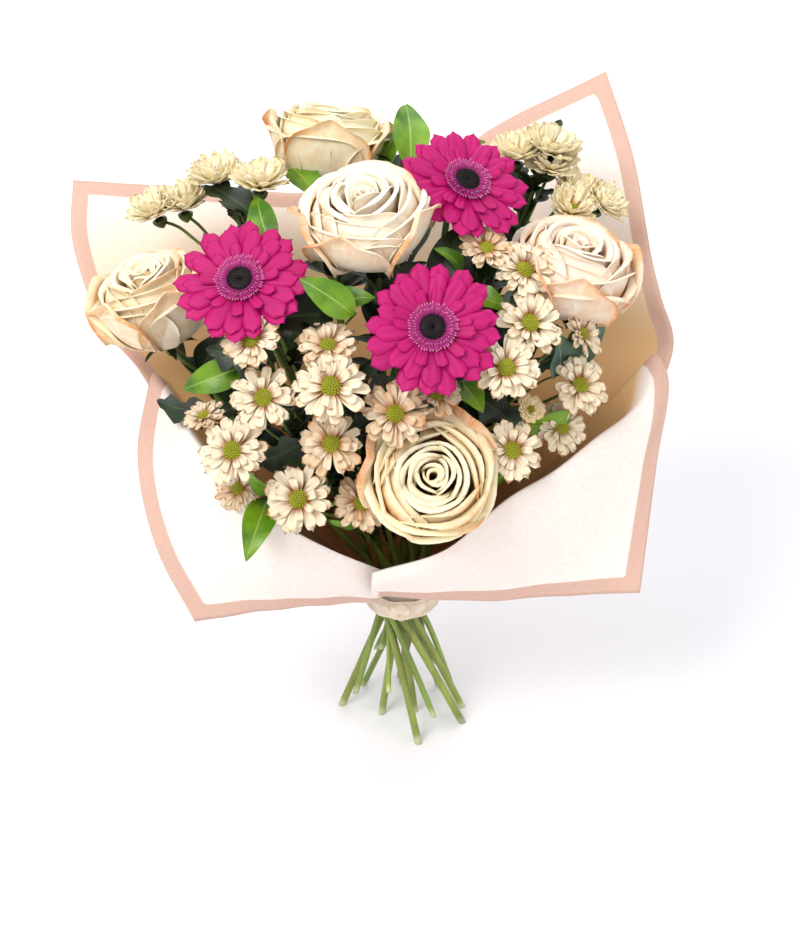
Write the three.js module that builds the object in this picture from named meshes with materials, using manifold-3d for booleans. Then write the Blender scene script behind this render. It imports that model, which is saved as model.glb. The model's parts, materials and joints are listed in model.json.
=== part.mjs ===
// A hand-tied mixed bouquet in a bordered paper wrap, standing on its own cut stems.
// Roses, gerberas, spray chrysanthemums and leafy greens cross in a spiral at the ribbon,
// and three folded sheets of paper open round them. Units are millimetres, +Z is up.

import * as THREE from 'three';
import { mergeVertices } from 'three/addons/utils/BufferGeometryUtils.js';
import Module from 'manifold-3d';

const wasm = await Module();
wasm.setup();

// ---------------------------------------------------------------- driving dimensions
const TIE_HEIGHT = 125; // the ribbon's middle above the cut ends, at one of the stems' levels
const READ_HEIGHT = 112.5; // the height on the axis that places read from the front count from
const NECK_RADIUS = 19.5; // the bundle of stems inside the ribbon
const WAIST_REACH = 0.078; // a stem's place in the neck, as a share of how far out its head is
const FOOT_SPREAD = 1.1; // a stem's lean below the ribbon, as a share of its lean above
const FOOT_REACH = 58; // the farthest a foot stands from the axis
const GAP = 0.35; // air between neighbouring pieces
const LEVEL_STEP = 12.5; // height between the levels where stems are kept apart
const SLACK = 0.8; // how far a stem's straight pieces may be from its curve
const FINEST = 0.2; // detail smaller than this is left out
const PAPER_THICKNESS = 1.0;
const LEAF_THICKNESS = 0.8;

// The heads lie on a dome. Each one's place is read square on from the front, along a gaze that
// drops by GAZE_PITCH, as millimetres across and up from a point of the axis at READ_HEIGHT.
const GAZE_PITCH = THREE.MathUtils.degToRad(28);
const GAZE_DISTANCE = 1700;
const GAZE_AIM = { across: -1.6, up: 113 };
const DOME_CENTRE = new THREE.Vector3(-22, 48, 318);
const DOME_RADII = new THREE.Vector3(200, 160, 160);

const ROSE_STEM = 3.1;
const GERBERA = { radius: 51, base: 9, petals: 18, stem: 3.0 };
const MUM = { radius: 28, base: 5, petals: 8, stem: 1.3 };
const SPRAY_STEM = 2.6;
const GREENS_STEM = 2.1;
const TWIG = 1.1;
const GOLDEN_ANGLE = 2.39996;

const COLOURS = {
  rosePetal: 0xf6e3c6,
  gerberaRay: 0xc2085f,
  gerberaEye: 0x4a1030,
  mumPetal: 0xf3dcb4,
  stem: 0x6f8f3a,
  sprayGreen: 0x4f6b2c,
  leaf: 0x4f8a22,
  eucalyptus: 0x71877a,
  paper: 0xf8ece3,
  ribbon: 0xefe2d2,
};

// across, up and face say where a head is and which way it looks: to the right, up the picture
// and towards the viewer. lift moves it out of the dome. A rose's base is how deep its cup is.
const ROSES = [
  { across: 23, up: 113, lift: 6, face: [0.04, 0.12, 1], base: 28, size: 1, foot: 0 },
  { across: -30, up: 321, lift: 4, face: [-0.08, 0.72, 0.7], base: 36, size: 1, foot: 0 },
  { across: -59, up: 383, lift: 0, face: [0.1, 0.97, 0.22], base: 44, size: 0.96, foot: 0 },
  { across: -206, up: 257, lift: 0, face: [-0.25, 0.8, 0.5], base: 42, size: 0.88, foot: 0 },
  { across: 138, up: 280, lift: 2, face: [0.25, 0.8, 0.55], base: 36, size: 1, foot: 0 },
];
const GERBERAS = [
  { across: -125, up: 264, lift: 12, face: [-0.12, 0.4, 0.91], foot: 0 },
  { across: 22, up: 230, lift: 14, face: [0.03, 0.2, 0.98], foot: 0 },
  { across: 48, up: 338, lift: 10, face: [0.3, 0.5, 0.82], foot: 0 },
];
// Each spray is one stem whose first head ends the stem and whose others sit on side branches. A
// head that joins has grown into the head before it.
const SPRAYS = [
  {
    foot: 12,
    heads: [
      { across: -110, up: 176, size: 0.95, lift: 6 },
      { across: -117, up: 221, size: 0.86, lift: 12 },
      { across: -133, up: 135, size: 1.02, lift: 8 },
      { across: -164, up: 156, size: 0.66, lift: -4, face: [-0.3, 0.75, 0.6] },
      { across: -136, up: 95, size: 0.7, lift: -4, face: [-0.25, 0.1, 0.95] },
    ],
  },
  {
    foot: 0,
    heads: [
      { across: -56, up: 186, size: 1.05, lift: 10 },
      { across: -61, up: 217, size: 0.86, lift: -4, face: [0, 0.6, 0.8] },
      { across: -57, up: 138, size: 0.92, lift: 2 },
      { across: -82, up: 97, size: 1.0, lift: 8 },
    ],
  },
  {
    foot: 40,
    heads: [
      { across: -6, up: 163, size: 0.96, lift: 4 },
      { across: 29, up: 176, size: 0.74, lift: -4, face: [0.1, 0.5, 0.85] },
      { across: -34, up: 86, size: 0.86, lift: -2, face: [0.3, 0.1, 0.95] },
    ],
  },
  {
    foot: 0,
    heads: [
      { across: 99, up: 233, size: 0.96, lift: 8 },
      { across: 98, up: 276, size: 0.96, lift: 2 },
      { across: 77, up: 200, size: 0.96, lift: 16 },
      { across: 87, up: 133, size: 0.92, lift: 4 },
      { across: 143, up: 183, size: 0.9, lift: 2 },
      { across: 148, up: 225, size: 0.76, lift: -2, face: [0.75, 0.35, 0.55] },
      { across: 134, up: 145, size: 0.78, lift: -6, face: [0.4, 0.1, 0.9] },
      { across: 103, up: 165, size: 0.45, lift: 2, young: true },
    ],
  },
  {
    foot: 30,
    heads: [
      { across: 120, up: 371, size: 1, lift: 0, face: [0.25, 0.75, 0.55], young: true },
      { across: 95, up: 370, size: 0.95, lift: -4, face: [0, 0.8, 0.5], young: true, joins: true },
      { across: 116, up: 350, size: 0.95, lift: 8, face: [0.1, 0.7, 0.65], young: true, joins: true },
      { across: 139, up: 334, size: 0.92, lift: 2, face: [0.4, 0.7, 0.55], young: true },
      { across: 164, up: 328, size: 0.88, lift: -2, face: [0.6, 0.55, 0.5], young: true, joins: true },
      { across: 131, up: 317, size: 0.88, lift: 8, face: [0.2, 0.6, 0.75], young: true, joins: true },
      { across: 70, up: 297, size: 0.8, lift: -4, face: [0.2, 0.6, 0.75] },
    ],
  },
  {
    foot: 22,
    heads: [
      { across: -149, up: 347, size: 1, lift: 0, face: [-0.15, 0.8, 0.5], young: true },
      { across: -115, up: 343, size: 1, lift: 2, face: [0.05, 0.82, 0.5], young: true, joins: true },
      { across: -200, up: 320, size: 0.95, lift: 0, face: [-0.35, 0.75, 0.5], young: true },
      { across: -175, up: 322, size: 0.95, lift: 4, face: [-0.15, 0.8, 0.5], young: true, joins: true },
    ],
  },
];
// Leaves are read from the front too: from base to tip, as [across, up, lift out of the dome], or
// as [across, up, nearer than the axis] where one hangs over the fold of the paper.
const GREENS = [
  {
    name: 'ruscus_left',
    colour: COLOURS.leaf,
    end: { across: -86, up: 250, lift: -22 },
    foot: 45,
    leaves: [
      { base: [-38, 246, -6], tip: [-81, 269, 8], width: 26 },
      { base: [-115, 90, 138], tip: [-128, 40, 166], width: 26, overFold: true },
      { base: [-104, 92, -12], tip: [-126, 116, 4], width: 22 },
      { base: [-112, 305, -12], tip: [-118, 336, 0], width: 24 },
      { base: [-150, 200, -30], tip: [-185, 178, -8], width: 26 },
      { base: [-60, 262, -24], tip: [-22, 262, -14], width: 20 },
      { base: [-30, 60, -16], tip: [-60, 66, -6], width: 20 },
    ],
  },
  {
    name: 'ruscus_right',
    colour: COLOURS.leaf,
    end: { across: 92, up: 300, lift: -26 },
    foot: 60,
    leaves: [
      { base: [112, 142, -18], tip: [146, 162, -4], width: 24 },
      { base: [56, 290, -22], tip: [28, 300, -6], width: 15 },
      { base: [66, 268, -24], tip: [92, 250, -12], width: 20 },
      { base: [58, 180, -24], tip: [70, 160, -8], width: 22 },
      { base: [60, 110, -20], tip: [92, 100, -8], width: 22 },
      { base: [110, 318, -30], tip: [170, 300, -16], width: 24 },
    ],
  },
  {
    name: 'ruscus_back',
    colour: COLOURS.leaf,
    end: { across: 2, up: 376, lift: -14 },
    foot: 38,
    leaves: [
      { base: [8, 364, -6], tip: [2, 398, 10], width: 30 },
      { base: [-16, 372, -14], tip: [-2, 392, -4], width: 20 },
      { base: [26, 366, -14], tip: [70, 384, -6], width: 24 },
      { base: [-80, 352, -20], tip: [-112, 372, -8], width: 26 },
    ],
  },
  {
    name: 'eucalyptus_right',
    colour: COLOURS.eucalyptus,
    end: { across: 120, up: 240, lift: -24 },
    foot: 52,
    leaves: [
      { base: [140, 190, -14], tip: [128, 228, -4], width: 30 },
      { base: [150, 205, -18], tip: [170, 230, -4], width: 28 },
      { base: [118, 262, -26], tip: [150, 250, -16], width: 26 },
    ],
  },
];

// Between the heads a golden spiral of leaves covers the front of the dome.
const FILL = { count: 15, across: -22, up: 222, halfWidth: 176, halfHeight: 150, length: 52, width: 30 };

// ---------------------------------------------------------------- small helpers
const AXIS_POINT = new THREE.Vector3(0, 0, READ_HEIGHT);
const UP = new THREE.Vector3(0, 0, 1);
const RIGHT = new THREE.Vector3(1, 0, 0);
const UPWARD = new THREE.Vector3(0, Math.sin(GAZE_PITCH), Math.cos(GAZE_PITCH));
const TOWARDS = new THREE.Vector3(0, -Math.cos(GAZE_PITCH), Math.sin(GAZE_PITCH));

const along = (origin, ...steps) =>
  steps.reduce((p, [axis, length]) => p.addScaledVector(axis, length), origin.clone());
const EYE = along(AXIS_POINT, [RIGHT, GAZE_AIM.across], [UPWARD, GAZE_AIM.up], [TOWARDS, GAZE_DISTANCE]);
const onPicture = (across, up) => along(AXIS_POINT, [RIGHT, across], [UPWARD, up]);
// A repeatable draw from 0 to 1 for the n-th small variation.
const draw = (n) => {
  const wave = Math.sin(n * 12.9898) * 43758.5453;
  return wave - Math.floor(wave);
};

// The point that is seen at (across, up), depth mm nearer to the viewer than the axis point.
function seenAt(across, up, depth) {
  return EYE.clone().lerp(onPicture(across, up), 1 - depth / GAZE_DISTANCE);
}

// The point of the dome that is seen at (across, up), moved out of it by lift.
function onDome(across, up, lift = 0) {
  const ray = onPicture(across, up).sub(EYE).normalize();
  const start = EYE.clone().sub(DOME_CENTRE).divide(DOME_RADII);
  const step = ray.clone().divide(DOME_RADII);
  const half = start.dot(step) / step.lengthSq();
  const inside = half * half - (start.lengthSq() - 1) / step.lengthSq();
  const point = along(EYE, [ray, -half - Math.sqrt(Math.max(0, inside))]);
  return along(point, [domeNormal(point), lift]);
}

function domeNormal(point) {
  return point.clone().sub(DOME_CENTRE).divide(DOME_RADII).divide(DOME_RADII).normalize();
}

// Which way a head looks: as read from the front, or between its stem and the dome's normal.
function facing(head, point) {
  if (head.face) {
    const [right, up, towards] = head.face;
    return along(new THREE.Vector3(), [RIGHT, right], [UPWARD, up], [TOWARDS, towards]).normalize();
  }
  const lean = point.clone().sub(AXIS_POINT).normalize();
  return lean.lerp(domeNormal(point), 0.35).lerp(TOWARDS, 0.35).normalize();
}

// ---------------------------------------------------------------- solids
function toSolid(geometry) {
  const bare = geometry.index ? geometry.toNonIndexed() : geometry.clone();
  bare.deleteAttribute('normal');
  bare.deleteAttribute('uv');
  const merged = mergeVertices(bare, 1e-4);
  return new wasm.Manifold(
    new wasm.Mesh({
      numProp: 3,
      vertProperties: merged.attributes.position.array,
      triVerts: new Uint32Array(merged.index.array),
    }),
  );
}

function toGeometry(solid) {
  const mesh = solid.getMesh();
  const geometry = new THREE.BufferGeometry();
  geometry.setAttribute('position', new THREE.BufferAttribute(mesh.vertProperties, 3));
  geometry.setIndex(new THREE.BufferAttribute(mesh.triVerts, 1));
  const flat = geometry.toNonIndexed();
  flat.computeVertexNormals();
  return flat;
}

const join = (solids) => solids.reduce((whole, piece) => whole.add(piece));

// The largest connected body of a solid: a cut can leave loose scraps, which fall away.
function largest(solid) {
  const bodies = solid.decompose();
  return bodies.reduce((best, body) => (body.volume() > best.volume() ? body : best));
}

// A closed slab over a grid of points, split into triangles alike on both faces.
function slab(rows, thickness) {
  const high = rows.length;
  const wide = rows[0].length;
  const at = (i, j) =>
    rows[Math.min(Math.max(i, 0), high - 1)][Math.min(Math.max(j, 0), wide - 1)];
  const positions = [];
  for (const side of [0.5, -0.5]) {
    for (let i = 0; i < high; i++) {
      for (let j = 0; j < wide; j++) {
        const down = at(i + 1, j).clone().sub(at(i - 1, j));
        const over = at(i, j + 1).clone().sub(at(i, j - 1));
        const normal = over.cross(down).normalize();
        positions.push(...along(at(i, j), [normal, side * thickness]).toArray());
      }
    }
  }
  const top = (i, j) => i * wide + j;
  const low = (i, j) => high * wide + i * wide + j;
  const index = [];
  const quad = (a, b, c, d) => index.push(a, b, c, a, c, d);
  for (let i = 0; i + 1 < high; i++) {
    for (let j = 0; j + 1 < wide; j++) {
      quad(top(i, j), top(i, j + 1), top(i + 1, j + 1), top(i + 1, j));
      index.push(...lowPair(low, i, j));
    }
  }
  for (let j = 0; j + 1 < wide; j++) {
    quad(top(0, j), low(0, j), low(0, j + 1), top(0, j + 1));
    quad(top(high - 1, j + 1), low(high - 1, j + 1), low(high - 1, j), top(high - 1, j));
  }
  for (let i = 0; i + 1 < high; i++) {
    quad(top(i + 1, 0), low(i + 1, 0), low(i, 0), top(i, 0));
    quad(top(i, wide - 1), low(i, wide - 1), low(i + 1, wide - 1), top(i + 1, wide - 1));
  }
  const geometry = new THREE.BufferGeometry();
  geometry.setAttribute('position', new THREE.Float32BufferAttribute(positions, 3));
  geometry.setIndex(index);
  return outwards(toSolid(geometry), geometry);
}

// The lower face's two triangles of a cell, on the same diagonal as the upper face's.
const lowPair = (low, i, j) => [
  low(i, j), low(i + 1, j + 1), low(i, j + 1),
  low(i, j), low(i + 1, j), low(i + 1, j + 1),
];

// A solid that came out inside out is built again with its triangles turned.
function outwards(solid, geometry) {
  if (solid.volume() > 0) return solid;
  const index = geometry.index.array.slice().reverse();
  geometry.setIndex(new THREE.BufferAttribute(index, 1));
  return toSolid(geometry);
}

// A closed surface of rings, from the pole before the first to the pole after the last. All rings
// of one surface have the same count of points, so that neighbours are joined point to point.
function closed(first, rings, last) {
  const wide = rings[0].length;
  const positions = [...rings.flat(2), ...first, ...last];
  const [start, end] = [rings.length * wide, rings.length * wide + 1];
  const edge = (rings.length - 1) * wide;
  const index = [];
  for (let k = 0; k < wide; k++) {
    const next = (k + 1) % wide;
    index.push(start, next, k, end, edge + k, edge + next);
    for (let i = 0; i + 1 < rings.length; i++) {
      const [a, b] = [i * wide, (i + 1) * wide];
      index.push(a + k, a + next, b + next, a + k, b + next, b + k);
    }
  }
  const geometry = new THREE.BufferGeometry();
  geometry.setAttribute('position', new THREE.Float32BufferAttribute(positions, 3));
  geometry.setIndex(index);
  return toSolid(geometry);
}

// The same round +Z, with its poles at two heights.
const ringed = (low, rings, high) => closed([0, 0, low], rings, [0, 0, high]);

const polar = (angle, radius, z) => [radius * Math.cos(angle), radius * Math.sin(angle), z];
const circle = (radius, z, count, turn = 0) =>
  Array.from({ length: count }, (_, k) => polar(turn + (2 * Math.PI * k) / count, radius, z));

// A tier of petals: two points at each tip and one in the notch, every other petal raised. A
// tier that is grown, to cut its neighbours clear, is wider and has an upper and a lower rim.
function petalTier({ petals, tip, notch, rise, step = 0, width = 0.8, turn = 0 }, grow = 0) {
  const half = (Math.PI / petals) * width + grow / tip;
  const rim = (lift) =>
    Array.from({ length: petals }, (_, k) => {
      const middle = turn + (2 * Math.PI * k) / petals;
      const raised = k % 2 === 0 ? 1 : -1;
      const reach = tip * (0.93 + 0.03 * raised + 0.06 * draw(k + petals)) + 1.5 * grow;
      const z = rise + raised * step + lift;
      return [
        polar(middle - half, reach, z),
        polar(middle + half, reach, z),
        polar(middle + Math.PI / petals, notch + grow, rise * 0.4 + lift),
      ];
    }).flat();
  return grow ? [rim(-1.5 * grow), rim(1.5 * grow)] : [rim(0)];
}

// Puts a solid that is modelled round +Z at a point, with +Z along axis and turned by spin.
function placed(solid, point, axis, spin = 0) {
  const turn = new THREE.Quaternion().setFromUnitVectors(UP, axis);
  turn.multiply(new THREE.Quaternion().setFromAxisAngle(UP, spin));
  const matrix = new THREE.Matrix4().compose(point, turn, new THREE.Vector3(1, 1, 1));
  return solid.transform(matrix.elements);
}

// ---------------------------------------------------------------- heads
// A young head is still cupped: its rays rise more and reach less far, and its disc sits higher.
function mumHead({ size, young }, grow) {
  const { radius, base, petals } = MUM;
  const dish = young ? 4 * size : 1.6;
  const rays = petalTier({
    petals,
    tip: radius * size * (young ? 0.92 : 1),
    notch: radius * size * 0.46,
    rise: (young ? 15 : 4) * size,
    step: 1.2,
  }, grow);
  const disc = circle(radius * size * 0.28, dish + 1.5 * grow, 3 * petals, -0.6 / petals);
  return ringed(-base - grow, [...rays, disc], (young ? 7 : 4.5) * size + grow);
}

// Two tiers of rays in one surface, with a shallow well under the inner tier.
function gerberaRays(grow) {
  const { radius, base, petals } = GERBERA;
  const half = Math.PI / petals;
  const outer = { petals, tip: radius, notch: 24, rise: 2, step: 1.0, width: 0.86 };
  const inner = { petals, tip: radius * 0.72, notch: 21, rise: 7.5, step: 0.6, width: 0.7, turn: half };
  const rings = [
    ...petalTier(outer, grow),
    circle(20 + grow, 3.4 + grow, 3 * petals, half),
    ...petalTier(inner, grow),
    circle(14, 3.4 + grow, 3 * petals, half),
  ];
  return ringed(-base - grow, rings, 3.4 + grow);
}

// The domed dark disc with its ring of short florets, standing on the rays.
function gerberaEye(grow) {
  const florets = { petals: 11, tip: 16, notch: 12.8, rise: 3.6, step: 0.3, width: 0.7 };
  const rings = [circle(11 + grow, 0, 33), ...petalTier(florets, grow), circle(9.5, 4.4 + grow, 33)];
  return ringed(0, rings, 6.4 + grow).translate([0, 0, 3.4 + 2 * GAP]);
}

// Cupped petals in four layers, each with its lip, cut by the valley to the next layer. Inside a
// layer the radius grows along each petal, so that its end lies over the start of the next one.
const ROSE_COLUMNS = 15;
const ROSE_LAYERS = [
  { petals: 5, radius: 45, lip: 10, wave: 4, valley: [30, -3] },
  { petals: 5, radius: 33, lip: 18, wave: 4, valley: [21, 5] },
  { petals: 3, radius: 22, lip: 22, wave: 3, valley: [12.5, 11] },
  { petals: 3, radius: 12.5, lip: 23, wave: 2, valley: [4, 14] },
];

function roseRing({ petals, wave }, radius, z, lift, turn) {
  return Array.from({ length: ROSE_COLUMNS }, (_, k) => {
    const share = (k * petals) / ROSE_COLUMNS;
    const across = share - Math.floor(share);
    const reach = radius * (0.93 + 0.12 * across);
    const height = z + lift * wave * (Math.sin(Math.PI * across) - 0.5);
    return polar(turn + (2 * Math.PI * k) / ROSE_COLUMNS, reach, height);
  });
}

function roseHead({ base, size }, grow) {
  const lips = ROSE_LAYERS.flatMap((layer, k) => {
    const turn = 0.35 * k;
    const { radius, lip, valley } = layer;
    return [
      roseRing(layer, size * radius + grow, lip + grow, 1, turn),
      roseRing(layer, size * radius - 2 - grow, lip + 0.4 + grow, 1, turn),
      circle(size * valley[0], valley[1] + grow, ROSE_COLUMNS, turn),
    ];
  });
  const below = [[15, 0.8], [38, 0.4]].map(([radius, share]) =>
    circle(size * radius + grow, -share * base, ROSE_COLUMNS),
  );
  return ringed(-base - grow, [...below, ...lips], 15 + grow);
}

// ---------------------------------------------------------------- stems
// A strand is a stem or branch as a list of places, one for each level from foot to head.
function levelsBetween(low, high) {
  const heights = [];
  for (let k = Math.ceil((low + 2) / LEVEL_STEP); k * LEVEL_STEP < high - 2; k++) {
    heights.push(k * LEVEL_STEP);
  }
  return [low, ...heights, high];
}

function atHeights(curve, low, high) {
  const fine = curve.getPoints(160);
  return levelsBetween(low, high).map((z) => {
    const k = Math.max(1, fine.findIndex((p) => p.z >= z - 1e-6));
    const share = (z - fine[k - 1].z) / (fine[k].z - fine[k - 1].z || 1);
    return fine[k - 1].clone().lerp(fine[k], THREE.MathUtils.clamp(share, 0, 1)).setZ(z);
  });
}

// A stem runs from its foot through the neck to its head, and all of them cross the same way.
function mainStrand(group, point, axis, radius, foot) {
  const reach = Math.hypot(point.x, point.y);
  const waist = Math.min(reach * WAIST_REACH, NECK_RADIUS - radius);
  const angle = Math.atan2(point.y, point.x) + Math.acos(waist / reach);
  const neck = new THREE.Vector3(waist * Math.cos(angle), waist * Math.sin(angle), TIE_HEIGHT);
  const rise = point.z - TIE_HEIGHT;
  const lean = point.clone().sub(neck).divideScalar(rise);
  const floor = along(neck, [lean, -TIE_HEIGHT]).setZ(0);
  floor.lerp(neck, 1 - FOOT_SPREAD).clampLength(0, FOOT_REACH).setZ(-LEVEL_STEP);
  const shoulder = along(neck, [lean, rise * 0.4]);
  const throat = along(point, [axis, -rise * 0.22]);
  const upper = new THREE.CubicBezierCurve3(neck, shoulder, throat, point);
  const above = atHeights(upper, TIE_HEIGHT, point.z);
  const below = levelsBetween(-LEVEL_STEP, TIE_HEIGHT)
    .slice(0, -1)
    .map((z) => floor.clone().lerp(neck, (z + LEVEL_STEP) / (TIE_HEIGHT + LEVEL_STEP)).setZ(z));
  return { group, radius, foot, points: [...below, ...above], fork: -Infinity };
}

// A branch leaves its spray's stem at fork and ends under its own head.
function branchStrand(parent, point, axis, radius, fork) {
  const start = pointAt(parent, fork);
  const lean = Math.min(0.45 * point.distanceTo(start), 40);
  const curve = new THREE.CubicBezierCurve3(
    start,
    start.clone().lerp(pointAt(parent, fork + LEVEL_STEP), 1.4),
    along(point, [axis, -lean]),
    point,
  );
  return {
    group: parent.group,
    parent,
    radius,
    fork: fork + 28,
    points: atHeights(curve, fork, point.z),
  };
}

function pointAt(strand, height) {
  const { points } = strand;
  const level = THREE.MathUtils.clamp(height, points[0].z, points.at(-1).z);
  const k = Math.max(1, points.findIndex((p) => p.z >= level));
  const share = (level - points[k - 1].z) / (points[k].z - points[k - 1].z);
  return points[k - 1].clone().lerp(points[k], share);
}

// Bends stems clear of each other, level by level, then smooths them again.
function bendClear(strands) {
  const ROUNDS = 160;
  const byLevel = new Map();
  for (const strand of strands) {
    strand.points.forEach((point, k) => {
      const key = Math.round(point.z / LEVEL_STEP);
      const fixed = (k === strand.points.length - 1 && !strand.loose) || (strand.parent && k === 0);
      if (!byLevel.has(key)) byLevel.set(key, []);
      byLevel.get(key).push({ strand, point, fixed });
    });
  }
  for (let round = 0; round < ROUNDS; round++) {
    for (const places of byLevel.values()) pushApart(places);
    for (const { points, parent } of strands) {
      if (parent) points[0].copy(pointAt(parent, points[0].z));
      if (round > ROUNDS - 25) continue;
      for (let k = parent ? 2 : 1; k + 1 < points.length; k++) {
        const middle = points[k - 1].clone().lerp(points[k + 1], 0.5);
        points[k].x += 0.3 * (middle.x - points[k].x);
        points[k].y += 0.3 * (middle.y - points[k].y);
      }
    }
  }
}

// Leaves out the places that lie within SLACK of the straight line between those that stay.
function thinned(points) {
  const [first, last] = [points[0], points.at(-1)];
  const line = new THREE.Line3(first, last);
  const gaps = points.map((p) => p.distanceTo(line.closestPointToPoint(p, true, new THREE.Vector3())));
  const farthest = gaps.indexOf(Math.max(...gaps));
  if (gaps[farthest] < SLACK) return [first, last];
  return [...thinned(points.slice(0, farthest + 1)).slice(0, -1), ...thinned(points.slice(farthest))];
}

function pushApart(places) {
  for (let a = 0; a < places.length; a++) {
    for (let b = a + 1; b < places.length; b++) {
      const [one, two] = [places[a], places[b]];
      const kin = one.strand.group === two.strand.group;
      const height = Math.min(one.point.z, two.point.z);
      if (kin && height < Math.max(one.strand.fork, two.strand.fork)) continue;
      const room = 1.2 * (one.strand.radius + two.strand.radius) + 2 * (GAP + SLACK);
      const [x, y] = [two.point.x - one.point.x, two.point.y - one.point.y];
      const short = room - Math.hypot(x, y);
      if (short <= 0) continue;
      const share = one.fixed || two.fixed ? 0.9 : 0.5;
      const away = new THREE.Vector2(x, y).normalize().multiplyScalar(short * share);
      if (!one.fixed) {
        one.point.x -= away.x;
        one.point.y -= away.y;
      }
      if (!two.fixed) {
        two.point.x += away.x;
        two.point.y += away.y;
      }
    }
  }
  for (const { strand, point } of places) {
    const above = point.z - TIE_HEIGHT;
    const widest = NECK_RADIUS - strand.radius + (above > 0 ? 0.4 * above : -0.9 * above);
    const reach = Math.hypot(point.x, point.y);
    if (above > 40 || reach < widest) continue;
    point.x *= widest / reach;
    point.y *= widest / reach;
  }
}

function strandSolid({ points, radius }, grow) {
  const sides = radius > 2.2 ? 4 : 3;
  const rings = points.map((point, k) => {
    const before = points[Math.max(k - 1, 0)];
    const after = points[Math.min(k + 1, points.length - 1)];
    const turn = new THREE.Quaternion().setFromUnitVectors(UP, after.clone().sub(before).normalize());
    return circle(radius + grow, 0, sides).map((corner) =>
      new THREE.Vector3(...corner).applyQuaternion(turn).add(point).toArray(),
    );
  });
  return closed(points[0].toArray(), rings, points.at(-1).toArray());
}

const FLOOR_BLOCK = toSolid(new THREE.BoxGeometry(600, 600, 100));
const cutAtFoot = (solid, foot) => solid.subtract(FLOOR_BLOCK.translate([0, 0, foot - 50]));

// ---------------------------------------------------------------- leaves
// A leaf is one closed blade, thick at its edge too, arched along the rib and folded a little at
// it. Its outline is a list of [place along the rib, share of the width].
const PLAIN = [[0.3, 0.92], [0.68, 0.78]];
const LOBED = [[0.2, 0.55], [0.36, 1], [0.52, 0.52], [0.7, 0.78]];

function leaf({ start, tip, width, outline, up }, grow) {
  const blade = tip.clone().sub(start);
  const length = blade.length();
  const side = blade.clone().cross(up).normalize();
  const normal = side.clone().cross(blade).normalize();
  const arch = along(start.clone().lerp(tip, 0.5), [normal, length * 0.28]);
  const rib = new THREE.QuadraticBezierCurve3(start, arch, tip);
  const at = (t, share, face) =>
    along(
      rib.getPoint(t),
      [blade, (grow * (2 * t - 1)) / length],
      [side, share * (width / 2 + grow)],
      [normal, Math.abs(share) * width * 0.14],
      [normal, face * (LEAF_THICKNESS / 2 + grow)],
    ).toArray();
  const positions = [];
  for (const face of [1, -1]) {
    positions.push(...at(0, 0, face), ...at(1, 0, face));
    for (const [t, share] of outline) {
      positions.push(...at(t, -share, face), ...at(t, 0, face), ...at(t, share, face));
    }
  }
  const rows = outline.map((_, k) => [2 + 3 * k, 3 + 3 * k, 4 + 3 * k]);
  const [first, last] = [rows[0], rows.at(-1)];
  const cap = [[0, first[1], first[0]], [0, first[2], first[1]]];
  cap.push([1, last[0], last[1]], [1, last[1], last[2]]);
  for (let k = 0; k + 1 < rows.length; k++) {
    const [a, b] = [rows[k], rows[k + 1]];
    cap.push([a[0], a[1], b[1]], [a[0], b[1], b[0]], [a[1], a[2], b[2]], [a[1], b[2], b[1]]);
  }
  const count = 2 + 3 * outline.length;
  const index = [...cap.flat(), ...cap.flatMap(([a, b, c]) => [a + count, c + count, b + count])];
  const loop = [0, ...rows.map((row) => row[2]), 1, ...rows.map((row) => row[0]).reverse()];
  loop.forEach((a, k) => {
    const b = loop[(k + 1) % loop.length];
    index.push(a, a + count, b + count, a, b + count, b);
  });
  const geometry = new THREE.BufferGeometry();
  geometry.setAttribute('position', new THREE.Float32BufferAttribute(positions, 3));
  geometry.setIndex(index);
  return outwards(toSolid(geometry), geometry);
}

// Leaves up a strand by the golden angle, between two heights.
function leavesUp(strand, { low, high, count, length, width, outline, seed }, grow) {
  return Array.from({ length: count }, (_, k) => {
    const height = low + ((high - low) * (k + 0.5)) / count;
    const from = pointAt(strand, height);
    const angle = (k + seed) * GOLDEN_ANGLE + draw(seed + k);
    const out = new THREE.Vector3(Math.cos(angle), Math.sin(angle), 0.9).normalize();
    const start = along(from, [out, -strand.radius]);
    const tip = along(from, [out, length * (0.85 + 0.3 * draw(seed * 7 + k))]);
    return leaf({ start, tip, width, outline, up: UP }, grow);
  });
}

// ---------------------------------------------------------------- paper
// An edge of a sheet, through points that are read from the front as [across, up, depth].
function edge(points, before = []) {
  const places = [...before, ...points.map((p) => seenAt(...p))];
  const curve = new THREE.CatmullRomCurve3(places, false, 'centripetal');
  return (share) => curve.getPointAt(share);
}

// An arc round the neck, where a sheet starts inside the ribbon.
const neckArc = ({ from, to, radius }, z) => (share) => {
  const angle = THREE.MathUtils.degToRad(from + (to - from) * share);
  return new THREE.Vector3(radius * Math.cos(angle), radius * Math.sin(angle), z);
};

// A surface between four edges. The side edges pull it out of its straight lines from low to
// high, and the larger the grip, the less far from the side that pull is felt.
function patch(low, high, left, right, grip = 1) {
  return (s, t) => {
    const straight = (share) => low(share).lerp(high(share), t);
    return along(
      straight(s),
      [left(t).sub(straight(0)), (1 - s) ** grip],
      [right(t).sub(straight(1)), s ** grip],
    );
  };
}

function sampled(surface, columns, rows) {
  return Array.from({ length: rows + 1 }, (_, i) =>
    Array.from({ length: columns + 1 }, (_, j) => surface(j / columns, i / rows)),
  );
}

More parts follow.
